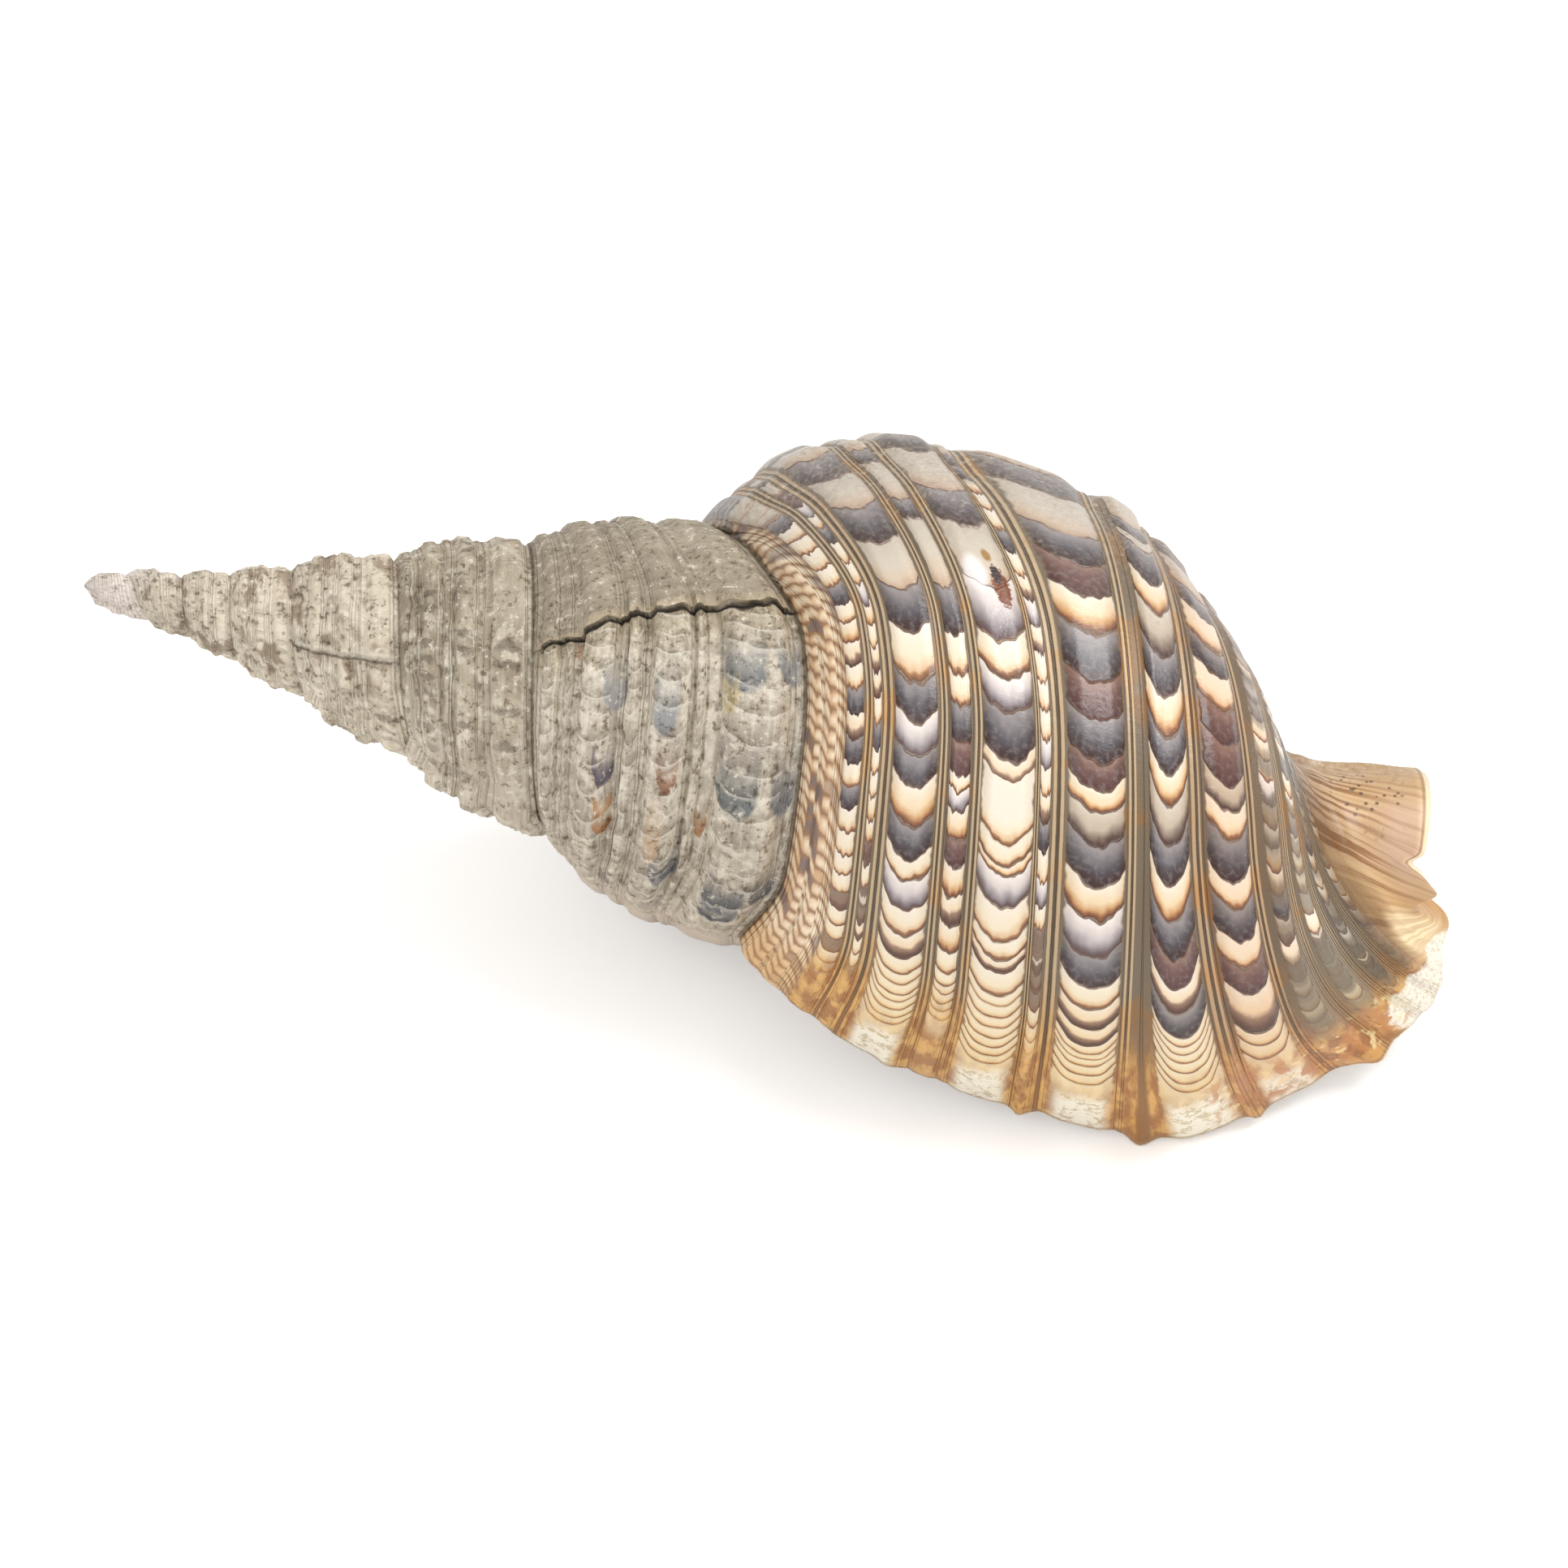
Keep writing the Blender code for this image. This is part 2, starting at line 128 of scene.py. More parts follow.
def hermite(p0, p1, m0, m1, h, s):
    """Cubic from p0 to p1 with slopes m0 and m1; s is the way along a step of length h."""
    return ((1 + 2 * s) * (1 - s) ** 2 * p0 + s * (1 - s) ** 2 * h * m0
            + s * s * (3 - 2 * s) * p1 + s * s * (s - 1) * h * m1)


def smooth(knots, at):
    """Monotone cubic through (place, value) knots."""
    xs, ys = np.array(knots, float).T
    h = np.diff(xs)
    d = np.diff(ys) / h
    m = np.zeros(len(xs))
    same = d[:-1] * d[1:] > 0
    a = np.where(same, d[:-1], 1.0)
    b = np.where(same, d[1:], 1.0)
    w1 = 2 * h[1:] + h[:-1]
    w2 = h[1:] + 2 * h[:-1]
    m[1:-1] = np.where(same, (w1 + w2) / (w1 / a + w2 / b), 0.0)
    m[0] = d[0]
    m[-1] = d[-1]
    at = np.clip(at, xs[0], xs[-1])
    k = np.clip(np.searchsorted(xs, at, side="right") - 1, 0, len(h) - 1)
    s = (at - xs[k]) / h[k]
    return hermite(ys[k], ys[k + 1], m[k], m[k + 1], h[k], s)


def track(table, age):
    """(x, r) of a line that is given at some ages."""
    return np.stack([smooth([(row[0], row[c]) for row in table], age) for c in (1, 2)], -1)


def ramp(value, low, high):
    """0 below low, 1 above high, smooth between."""
    t = np.clip((value - low) / (high - low), 0, 1)
    return t * t * (3 - 2 * t)


def bell(value, width):
    """1 at 0, falling off with the width on both sides."""
    return np.exp(-(value / width) ** 2)


def side(age, f):
    """The wall between its two sutures: a chord swollen outwards."""
    upper = track(SUTURE, age)
    chord = track(SUTURE, age - 1) - upper
    across = np.stack([-chord[..., 1], chord[..., 0]], -1)
    swell = smooth(SWELL, age) * np.sin(np.pi * np.clip(f, 0, 1) ** 0.76)
    return upper + f[..., None] * chord + swell[..., None] * across


def front(age, f):
    """The wall from the lower suture line over the base and neck to the end of the canal.

    A fold with a corner and a roll stands between the lip and the canal, and a notch behind it.
    """
    one = np.ones_like(f)
    p = [track(SUTURE, age - 1), track(BASE, age), track(NECK, age), track(TIP, age)]
    k = [1.0, F_BASE, F_NECK, F_TIP]
    slope = [(p[i + 1] - p[i]) / (k[i + 1] - k[i]) for i in range(3)]
    m0 = (side(age, one) - side(age, one - 0.001)) / 0.001
    m1 = (slope[0] * (k[2] - k[1]) + slope[1] * (k[1] - k[0])) / (k[2] - k[0])
    m2 = (slope[1] * (k[3] - k[2]) + slope[2] * (k[2] - k[1])) / (k[3] - k[1])
    m = [m0, m1, m2, slope[2]]
    out = p[0]
    for i in range(3):
        h = k[i + 1] - k[i]
        s = np.clip((f - k[i]) / h, 0, 1)[..., None]
        out = np.where((f > k[i])[..., None], hermite(p[i], p[i + 1], m[i], m[i + 1], h, s), out)
    corner = 6.0 * bell(f - 1.9, 0.07) * (1 - ramp(age, 0.03, 0.13))
    roll = 6.0 * bell(f - 1.96, 0.09) * bell(age - 0.13, 0.032)
    notch = 3.0 * bell(f - 1.97, 0.06) * bell(age - 0.185, 0.012)
    out[..., 0] += corner + roll - notch
    return out


def smooth_wall(age, f):
    """(x, r) of the wall without its ribs."""
    return np.where((f > 1)[..., None], front(age, np.maximum(f, 1)), side(age, np.minimum(f, 1)))


def rib_place(age, f):
    """The ribs keep their distance from the lower suture, not from the upper one."""
    slip = smooth(SLIP, age)
    spread = smooth(SPREAD, age)
    beyond = np.maximum(f - 1, 0) ** spread
    return np.where(f > 1, 1 + beyond, f + slip * (1 - ramp(f, 0.6, 1.0)))


def old_edge(f):
    """Age of the old lip that stands on the last but one whorl."""
    return OLD_LIP + 0.13 * f - 0.06 * f * f + 0.003 * np.sin(21 * f) * ramp(f, 0.05, 0.2)


def whorl_size(age):
    """Distance of the sutures as a share of the one at the lip."""
    return np.linalg.norm(track(SUTURE, age - 1) - track(SUTURE, age), axis=-1) / LIP_SPAN


def rib_height(g, ribs, inner, outer):
    """Height of ribs that fall off between two shares of their half width."""
    total = np.zeros_like(g)
    for middle, half, high in ribs:
        total = total + high * (1 - ramp(np.abs(g - middle), inner * half, outer * half))
    return total


def relief(age, f):
    """Height of ribs, scallops and varices above the smooth wall (mm)."""
    g = rib_place(age, f)
    ribs = rib_height(g, RIBS, 0.45, 1.25) * whorl_size(age) * (0.45 + 0.55 * ramp(age, 0.0, 0.05))
    points = sum(high * bell(g - middle, 0.03) for middle, high in POINTS) * bell(age, 0.022)
    flare = 1.2 * bell(age, 0.02)
    ridge = LOW_RIDGE[2] * bell(age - LOW_RIDGE[0], LOW_RIDGE[1])
    gap = age - old_edge(f)
    step = np.where(gap > 0, 1.0 * np.exp(-gap / 0.035), -0.5 * np.exp(gap / 0.03))
    early = sum(high * bell(age - at, width) for at, width, high in OLD_RIDGES)
    total = ribs + points + flare + ridge + step + early
    hem = ramp(f, 0.0, 0.03)
    closed = 1 - ramp(f, 0.96, 1.0) * ramp(age, *COVERED) * (f <= 1)
    open_end = (1 - ramp(f, 1.86, 1.98)) * (1 - (f > 1) * ramp(age, *COVERED))
    return total * hem * closed * open_end


def outward(age, f):
    """Unit direction out of the wall in the half-plane."""
    e = 0.004
    a = smooth_wall(age, np.clip(f - e, 0.0, 2.0))
    b = smooth_wall(age, np.clip(f + e, 0.0, 2.0))
    d = b - a
    n = np.stack([-d[..., 1], d[..., 0]], -1)
    return n / np.maximum(np.linalg.norm(n, axis=-1, keepdims=True), 1e-9)


def place(age, xr):
    """Points of the half-plane at an age, in metres round the axis."""
    phi = np.radians(LIP_ANGLE - 360.0 * np.asarray(age, float))
    r = xr[..., 1]
    return np.stack([xr[..., 0], r * np.cos(phi), r * np.sin(phi)], -1) * MM


def on_ribs(age, c):
    """F of a column that stays on its rib: the reverse of rib_place."""
    slip = smooth(SLIP, age)
    spread = smooth(SPREAD, age)
    goal = np.where(c < FOLLOW, slip + c * (FOLLOW - slip) / FOLLOW, c)
    low = np.zeros_like(goal)
    high = np.ones_like(goal)
    for _ in range(24):
        mid = (low + high) / 2
        under = mid + slip * (1 - ramp(mid, 0.6, 1.0)) < goal
        low = np.where(under, mid, low)
        high = np.where(under, high, mid)
    return np.where(c > 1, 1 + np.maximum(c - 1, 0) ** (1 / spread), (low + high) / 2)


def lean(age, f):
    """Rows lean near the old lip, so that one row follows it."""
    along = old_edge(f) - OLD_LIP
    foot = (old_edge(1.0) - OLD_LIP) * (1 - ramp(f, 0.0, 0.5))
    upper = along * bell(age - OLD_LIP, 0.09)
    lower = foot * bell(age + 1 - OLD_LIP, 0.09) * ramp(age, 0.0, 0.05)
    return np.where(age >= 1, upper, np.where(f <= 1, lower, 0.0))


def row_steps():
    """Places of the rows within a turn."""
    even = np.linspace(0, 1, ROWS + 1)
    even = even - CROWDING / (2 * np.pi) * np.sin(2 * np.pi * even)
    special = list(LIP_ROWS) + [OLD_LIP - 1 - OLD_LIP_ROW, OLD_LIP - 1 + OLD_LIP_ROW]
    free = [s for s in even[1:-1] if min(abs(s - e) for e in special) > ROW_GAP]
    return np.array(sorted([0.0, 1.0] + special + free))


def column_places():
    """Places of the columns of the last whorl: the edges of ribs and grooves, and even steps between."""
    places = []
    for low, high, is_rib in intervals():
        step = RIB_STEP if is_rib else GROOVE_STEP
        count = max(2, int(round((high - low) / step)))
        places += list(np.linspace(low, high, count + 1)[:-1])
    places = np.array(places + [2.0])
    places[np.argmin(abs(places - 1.0))] = 1.0
    return places


def intervals():
    """Ribs and grooves in order, as (low, high, is it a rib)."""
    found = []
    start = 0.0
    for middle, half, _ in RIBS:
        found.append((start, middle - half, False))
        found.append((middle - half, middle + half, True))
        start = middle + half
    return found + [(start, 2.0, False)]


def rib_number(g):
    """Running number of the rib or groove at a place, and the way across it: ribs are odd."""
    edges = [low for low, _, _ in intervals()] + [2.0]
    return np.interp(g, edges, np.arange(len(edges)))


def lip_round(age, f):
    """How far the edge of the lip and of the canal is rounded off (mm)."""
    edge = 1 - np.clip(age / 0.004, 0, 1)
    rim = np.clip((f - 1.985) / 0.015, 0, 1)
    return -0.9 * (1 - np.sqrt(np.clip(1 - np.maximum(edge, rim) ** 2, 0, 1)))


def worn_relief(age, f):
    """Lumps, wrinkles and stronger cords of the worn whorls behind the last one (mm)."""
    g = rib_place(age, f)
    cords = rib_height(g, RIBS[:12], 0.6, 1.1)
    turn = 2 * np.pi * age
    lumps = np.sin(17 * turn + 9 * f + 2 * np.sin(3 * turn)) * np.sin(14 * f + 5 * turn)
    lumps = lumps + 0.7 * np.sin(31 * turn - 23 * f + 1.5 * np.sin(7 * turn)) * np.cos(19 * f - 3 * turn)
    lumps = lumps + 0.5 * np.sin(53 * turn + 31 * np.sin(4 * f + turn))
    gap = age - old_edge(f)
    smooth_part = ramp(gap, 0.0, 0.02) * (1 - ramp(gap, 0.2, 0.35))
    wrinkles = 0.35 * np.sin(420 * gap) * smooth_part * bell(gap - 0.05, 0.05)
    coarse = np.sin(7 * turn + 5 * f + 2 * np.sin(2 * turn)) * np.sin(6 * f + 3 * turn)
    coarse = coarse + 0.8 * np.sin(13 * turn - 8 * f + 1.5 * np.sin(3 * turn)) * np.cos(6 * f - 2 * turn)
    coarse = coarse + 0.35 * np.sin(27 * turn + 9 * f)
    early = ramp(age, 1.8, 2.4)
    lumps = lumps * (0.5 + 0.5 * ramp(g, 0.25, 0.7)) * (1 - early) + 1.6 * coarse * early
    total = whorl_size(age) * ((2.1 - 1.3 * early) * cords + 1.2 * lumps) * (1 - 0.75 * smooth_part)
    total = total + wrinkles * (1 - ramp(f, 0.3, 0.6))
    hem = ramp(f, 0.0, 0.06) * (1 - ramp(f, 0.93, 1.0)) * (f <= 1)
    return total * hem * ramp(age, 0.985, 1.08)


def fine_wall(age, f):
    """(x, r) of the wall with all its relief."""
    age, f = np.broadcast_arrays(np.asarray(age, float), np.asarray(f, float))
    height = relief(age, f) + lip_round(age, f) + worn_relief(age, f)
    return smooth_wall(age, f) + height[..., None] * outward(age, f)


class Shape:
    """Points, and faces whose corners carry an age, a place f and the side they are on."""

    def __init__(self):
        self.points = []
        self.faces = []
        self.corners = []

    def add(self, positions):
        start = len(self.points)
        self.points.extend(positions)
        return list(range(start, len(self.points)))

    def face(self, corners, side):
        """corners are (vertex, age, f); side is 0 outside, 0.5 on an edge and 1 in the hollow."""
        kept = [c for k, c in enumerate(corners) if c[0] != corners[k - 1][0]]
        if len({c[0] for c in kept}) < 3:
            return
        self.faces.append([c[0] for c in kept])
        self.corners.extend((c[1], c[2], side) for c in kept)

    def strip(self, a, b, side):
        """Faces between two chains of corners."""
        if len(a) == len(b):
            for j in range(len(a) - 1):
                self.face([a[j], a[j + 1], b[j + 1], b[j]], side)
            return
        i = 0
        j = 0
        while i < len(a) - 1 or j < len(b) - 1:
            ahead = (i + 1) / (len(a) - 1) <= (j + 1) / (len(b) - 1)
            if j == len(b) - 1 or (ahead and i < len(a) - 1):
                self.face([a[i], a[i + 1], b[j]], side)
                i += 1
            else:
                self.face([a[i], b[j + 1], b[j]], side)
                j += 1

    def fan(self, loop, side):
        """Faces from a loop of corners to its middle."""
        middle = len(self.points)
        self.points.append(np.mean([self.points[c[0]] for c in loop], axis=0))
        age = float(np.mean([c[1] for c in loop]))
        f = float(np.mean([c[2] for c in loop]))
        for a, b in zip(loop, loop[1:] + loop[:1]):
            self.face([a, b, (middle, age, f)], side)


def body_shape():
    """The outside of the whole coil, closed by flat faces over the mouth and the canal's end."""
    shape = Shape()
    steps = row_steps()
    rows = len(steps) - 1
    row_age = [k + s for k in range(TURNS) for s in steps[:-1]] + [float(TURNS)]
    places = column_places()
    side_places = places[places <= 1.0]
    base_places = places[places >= 1.0]

    def chain(row, fs):
        fs = np.asarray(fs, float)
        ages = row + lean(np.full(len(fs), row), fs)
        vertices = shape.add(place(ages, fine_wall(ages, fs)))
        return [(v, a, f) for v, a, f in zip(vertices, ages, fs)]

    suture = [chain(row, [0.0])[0] for row in row_age]
    chains = []
    for i, row in enumerate(row_age):
        turn = min(i // rows, TURNS - 1)
        if turn == 0:
            fs = on_ribs(np.full(len(side_places), row), side_places)
        else:
            fs = np.linspace(0, 1, SPIRE_COLUMNS[turn - 1] + 1)
        inner = chain(row, fs[1:-1])
        if i >= rows:
            shared = suture[i - rows]
            last = (shared[0], shared[1] + 1, 1.0)
        else:
            last = chain(row, [1.0])[0]
        chains.append([suture[i]] + inner + [last])
    for a, b in zip(chains, chains[1:]):
        shape.strip(a, b, 0.0)
    tip = [(c[0], c[1], 0.0) for c in suture[-rows - 1:]]
    shape.fan(tip + chains[-1][1:-1], 0.0)
    base = []
    for i in range(rows + 1):
        fs = on_ribs(np.full(len(base_places), row_age[i]), base_places)
        first = chains[i][-1] if i < rows else (suture[0][0], 1.0, 1.0)
        base.append([first] + chain(row_age[i], fs[1:]))
    for a, b in zip(base, base[1:]):
        shape.strip(a, b, 0.0)
    shape.fan([row[-1] for row in base], 0.5)
    mouth = chains[0] + base[0][1:] + base[-1][:0:-1]
    turn_back = Matrix.Rotation(-radians(LIP_ANGLE), 3, "X")
    flat = [turn_back @ Vector(shape.points[c[0]]) for c in mouth]
    for tri in tessellate_polygon([[Vector((p.x, p.y, 0.0)) for p in flat]]):
        shape.face([mouth[k] for k in tri], 0.5)
    return shape


def hollow_section(age):
    """Loop of (x, r) of the hollow inside the whorl at an age."""
    open_canal = 1 - ramp(age, 0.38, 0.52)
    end = 1.62 + 0.38 * open_canal
    half = HOLLOW_OUT // 2 + 1
    f = np.concatenate([np.linspace(0.05, 1.3, half), np.linspace(1.3, end, HOLLOW_OUT - half + 1)[1:]])
    ages = np.full(HOLLOW_OUT, float(age))
    thick = WALL * (0.8 + 0.4 * ramp(ages, 0.0, 0.15) - 0.5 * ramp(ages, 0.8, 3.0))
    thick = thick * (1 - 0.35 * ramp(f, 1.75, 1.95)) * (1 + 0.35 * bell(f - 1.62, 0.16))
    inward = 0.6 * relief(ages, f) * bell(ages, 0.05) - thick
    outer = smooth_wall(ages, f) + inward[:, None] * outward(ages, f)
    at_age = np.array(float(age))
    corner = track(SUTURE, at_age) + np.array([4.5, -1.5]) * (1 - 0.55 * ramp(age, 1.0, 3.0))
    parietal = track(PARIETAL, at_age)
    pillar = track(PILLAR, at_age)
    closed_end = track(HOLLOW_END, at_age)
    last = closed_end * (1 - open_canal) + np.array([BEYOND, 3.5]) * open_canal
    knots = [last, pillar, parietal, corner]
    u = np.linspace(0, 1, HOLLOW_IN)
    inner = np.stack([smooth([(t, knot[c]) for t, knot in zip(INNER_KNOTS, knots)], u) for c in (0, 1)], -1)
    mouth = outer[-1] * (1 - open_canal) + np.array([BEYOND, outer[-1][1]]) * open_canal
    return np.vstack([outer[:-1], mouth[None], inner])


def hollow_shape():
    """The hollow of the last whorl as one solid that runs out through the mouth."""
    shape = Shape()
    out = np.array([0.0, -np.sin(radians(LIP_ANGLE)), np.cos(radians(LIP_ANGLE))]) * MM
    ages = [0.0] + list(HOLLOW_AGES)
    across = np.concatenate([np.linspace(0, 2, HOLLOW_OUT), 2 + np.linspace(0, 1, HOLLOW_IN + 1)[1:]])
    chains = []
    for i, age in enumerate(ages):
        points = place(age, hollow_section(age))
        if i == 0:
            points = points + 4 * out
        vertices = shape.add(points)
        chains.append([(v, age, f) for v, f in zip(vertices, across)])
    for a, b in zip(chains, chains[1:]):
        shape.strip(a + [(a[0][0], a[0][1], 3.1)], b + [(b[0][0], b[0][1], 3.1)], 1.0)
    shape.fan(chains[0], 1.0)
    shape.fan(chains[-1], 1.0)
    return shape


def in_scene(name, data):
    """A new object in the scene."""
    thing = bpy.data.objects.new(name, data)
    bpy.context.scene.collection.objects.link(thing)
    return thing


def in_triangles(mesh, outwards=False):
    """Cut the faces into triangles; if asked, first drop loose points and turn the faces outwards."""
    bm = bmesh.new()
    bm.from_mesh(mesh)
    if outwards:
        loose = [v for v in bm.verts if not v.link_faces]
        bmesh.ops.delete(bm, geom=loose, context="VERTS")
        bmesh.ops.recalc_face_normals(bm, faces=bm.faces)
        if bm.calc_volume(signed=True) < 0:
            bmesh.ops.reverse_faces(bm, faces=bm.faces)
    bmesh.ops.triangulate(bm, faces=bm.faces)
    bm.to_mesh(mesh)
    bm.free()


def mesh_object(name, shape, tip):
    """The shape as a closed mesh, turned to its rest and moved so that its tip is at the solid's tip."""
    points = np.asarray(shape.points) @ np.array(REST).T + np.array(tip)
    mesh = bpy.data.meshes.new(name)
    mesh.from_pydata(points.tolist(), [], shape.faces)
    corners = np.array(shape.corners)
    g = rib_place(corners[:, 0], corners[:, 1])
    layers = {
        "rib": np.stack([rib_number(g), g], -1),
        "growth": corners[:, :2],
        "side": np.stack([corners[:, 2], corners[:, 2] * 0], -1),
    }
    for layer, values in layers.items():
        mesh.uv_layers.new(name=layer).data.foreach_set("uv", values.astype(np.float32).ravel())
    in_triangles(mesh, True)
    return in_scene(name, mesh)


def solid_tip():
    """The tip of the spire: the point of the solid that is furthest along -X."""
    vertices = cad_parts[NODE].data.vertices
    return min((v.co for v in vertices), key=lambda p: p.x).copy()


def carve(shell, hollow):
    """Take the hollow out of the shell and keep the result as the shell's own mesh."""
    cut = shell.modifiers.new("hollow", "BOOLEAN")
    cut.operation = "DIFFERENCE"
    cut.solver = "EXACT"
    cut.object = hollow
    graph = bpy.context.evaluated_depsgraph_get()
    mesh = bpy.data.meshes.new_from_object(shell.evaluated_get(graph))
    in_triangles(mesh)
    shell.modifiers.clear()
    shell.data = mesh
    bpy.data.objects.remove(hollow)
    mesh.shade_smooth()
    mesh.set_sharp_from_angle(angle=radians(55))


# ---------------------------------------------------------------- materials


def operation(name, swap=False):
    """A method that makes one math node."""
    def apply(self, *values):
        graph = getattr(self, "graph", self)
        values = values if graph is self else (self, *values)
        return graph.math(name, *(values[::-1] if swap else values))
    return apply


class Signal:
    """A number or a colour in a node tree. Numbers can be used in sums, tones laid over colours."""

    __add__ = operation("ADD")
    __radd__ = operation("ADD", True)
    __sub__ = operation("SUBTRACT")
    __rsub__ = operation("SUBTRACT", True)
    __mul__ = operation("MULTIPLY")
    __rmul__ = operation("MULTIPLY", True)
    __truediv__ = operation("DIVIDE")
    __abs__ = operation("ABSOLUTE")

    def __init__(self, graph, socket):
        self.graph = graph
        self.socket = socket

    def rise(self, low, high):
        """0 below low, 1 above high, smooth between; low may be above high."""
        ends = (low, high, 0.0, 1.0) if low < high else (high, low, 1.0, 0.0)
        sockets = enumerate((self, *ends))
        return self.graph.signal("MapRange", 0, sockets, interpolation_type="SMOOTHSTEP")

    def window(self, a, b, c, d):
        """1 where both rises are 1."""
        return self.rise(a, b) * self.rise(c, d)

    def over(self, share, tone):
        """Lay a tone over this colour."""
        self.socket = self.graph.mix(share, self, tone).socket

    def dim(self, share, factor):
        """Multiply this colour by a factor where the share is 1."""
        self.socket = self.graph.mix(share, self, factor, "MULTIPLY").socket


class Graph:
    """Writes the nodes of a material or a world."""

    floor = operation("FLOOR")
    part = operation("FRACT")
    top = operation("MAXIMUM")
    low = operation("MINIMUM")
    above = operation("GREATER_THAN")
    root = operation("SQRT")

    def __init__(self, owner):
        owner.use_nodes = True
        self.owner = owner
        self.tree = owner.node_tree

    def set_up(self, name, sockets):
        """Feed sockets of a node that is there from the start."""
        for key, value in sockets.items():
            self.feed(self.tree.nodes[name].inputs[key], value)

    def node(self, kind, sockets=(), **settings):
        made = self.tree.nodes.new("ShaderNode" + kind)
        for key, value in settings.items():
            setattr(made, key, value)
        for key, value in dict(sockets).items():
            self.feed(made.inputs[key], value)
        return made

    def signal(self, kind, output, sockets=(), **settings):
        """One output of a new node."""
        return Signal(self, self.node(kind, sockets, **settings).outputs[output])

    def feed(self, socket, value):
        if isinstance(value, Signal):
            self.tree.links.new(value.socket, socket)
        else:
            socket.default_value = (*value, 1.0) if socket.type == "RGBA" else value

    def math(self, name, *values):
        return self.signal("Math", 0, enumerate(values), operation=name)

    def swing(self, a):
        """1 at whole numbers, 0 halfway between them."""
        return abs(self.part(a) - 0.5) * 2.0

    def is_number(self, value, number):
        return self.math("COMPARE", value, float(number), 0.5)

    def bump_at(self, value, middle, width):
        """1 at the middle, 0 further off than the width."""
        return abs(value - middle).rise(width, 0.0)

    def vector(self, *values):
        return self.signal("CombineXYZ", 0, enumerate(values))

    def noise(self, where, scale, detail=2.0, rough=0.5):
        sockets = {"Vector": where, "Scale": scale, "Detail": detail, "Roughness": rough}
        return self.signal("TexNoise", 0, sockets)

    def drift(self, x, y, detail=2.0, rough=0.5):
        """Noise over two numbers."""
        return self.noise(self.vector(x, y), 1.0, detail, rough)

    def chance(self, x, y):
        """A random number for each pair of whole numbers."""
        return self.signal("TexWhiteNoise", "Value", {"Vector": self.vector(x, y)}, noise_dimensions="2D")

    def cells(self, where, scale):
        """Distance to the nearest of many scattered points."""
        return self.signal("TexVoronoi", "Distance", {"Vector": where, "Scale": scale})

    def split(self, value):
        """The three numbers of a vector or a colour."""
        return [Signal(self, out) for out in self.node("SeparateXYZ", {0: value}).outputs]

    def uv(self, name):
        return self.split(self.signal("UVMap", 0, uv_map=name))[:2]

    def mix(self, share, a, b, blend="MIX"):
        return self.signal("Mix", 2, {0: share, 6: a, 7: b}, data_type="RGBA", blend_type=blend)

    def ramp(self, value, stops):
        """Colours or levels at places from 0 to 1."""
        made = self.node("ValToRGB", {0: value})
        elements = made.color_ramp.elements
        while len(elements) < len(stops):
            elements.new(1.0)
        for element, (at, level) in zip(elements, stops):
            element.position = at
            colour = level if isinstance(level, tuple) else (level, level, level)
            element.color = (*colour, 1.0)
        return Signal(self, made.outputs[0])


def thousandths(text):
    """A table of whole numbers, as thousandths."""
    return [[int(word) / 1000 for word in row.split()] for row in text.strip().splitlines()]


OLIVE = (0.17, 0.125, 0.08)
DEEP_OLIVE = (0.085, 0.06, 0.036)
AMBER = (0.27, 0.125, 0.03)
THREAD = (0.5, 0.36, 0.215)
# Dark brown of the pillar's wrinkles and between the teeth.
DEEP_BROWN = (0.07, 0.035, 0.022)
BESIDE_MOUTH = (0.55, 0.46, 0.36)      # where the whorls go in behind the mouth
# Dark brown along the sutures, and of the painted shadow in the crack under the old lip.
CREASE_BROWN = (0.045, 0.034, 0.022)

# The scales along a rib run from a pale old end to a dark young end; these are their kinds, in order:
# c cream with a thin line, d with a bold line, o orange, p pale and worn, l lilac, g grey, s slate, r red.
# Each row of SCALES has the five stops of one kind: the place along the scale and the colour.
KINDS = "cdoplgsr"
SCALES = thousandths("""
0 840 745 620  550 820 700 510  800 700 480 280  880 360 170 75  1000 140 60 30
0 830 730 600  450 800 620 420  620 300 180 120  850 120 55 35  1000 70 30 20
0 830 730 590  500 790 610 390  740 600 340 150  890 280 110 45  1000 110 40 20
0 550 480 390  500 600 530 430  800 620 500 380  930 560 420 300  1000 500 350 240
0 820 740 680  400 620 550 530  750 270 230 240  900 140 100 100  1000 100 50 45
0 620 540 430  500 500 410 310  780 200 140 105  900 100 55 40  1000 60 30 25
0 300 265 260  300 180 160 165  600 80 68 78  850 55 30 30  1000 40 17 15
0 260 150 115  350 155 78 66  800 105 43 38  920 90 34 30  1000 70 28 24
""")
# Scales of the broad ribs and one cord: age of the young end in thousandths of a turn, and kind.
MARKS = {
    4: "052c 058c 065c 072c 077c 085c 092c 103d 117c 131l 147c 158s 174o 193s 208l 225s 244c 270s 294p "
       "322s 348p 378s 404p",
    6: "070c 076c 082c 089c 094c 102c 115o 130d 145o 160r 173o 186l 196c 203r 219s 236c 251c 271s 297p "
       "339s 353p 390s 404p",
    8: "050c 057c 064c 071c 078c 085c 093c 099c 113d 120c 129c 147l 162o 167c 177c 189l 202d 214s 237l "
       "252c 271l 299p 334s 359p 397s 417p",
    10: "052c 059c 066c 071c 075c 081d 091d 103c 115s 131l 149o 165s 184g 199o 209r 222s 241r 260s 285o "
        "306r 326s 346p 382s 407p",
    12: "054c 061c 069c 076c 082c 087c 093s 107d 121r 136s 155o 171s 190g 208o 223s 241o 261s 282g 308o "
        "328s 356p 366s 380p",
    14: "061c 074c 085d 113r 129c 144s 162c 175s 197c 211g 225r 247r 266c 288s 305c 330s 350p 385s 405p",
}
MARKED = (0.045, 0.205, 0.425)         # the marks' first age, a middle one and the last
BROAD = (4, 8, 10, 12)
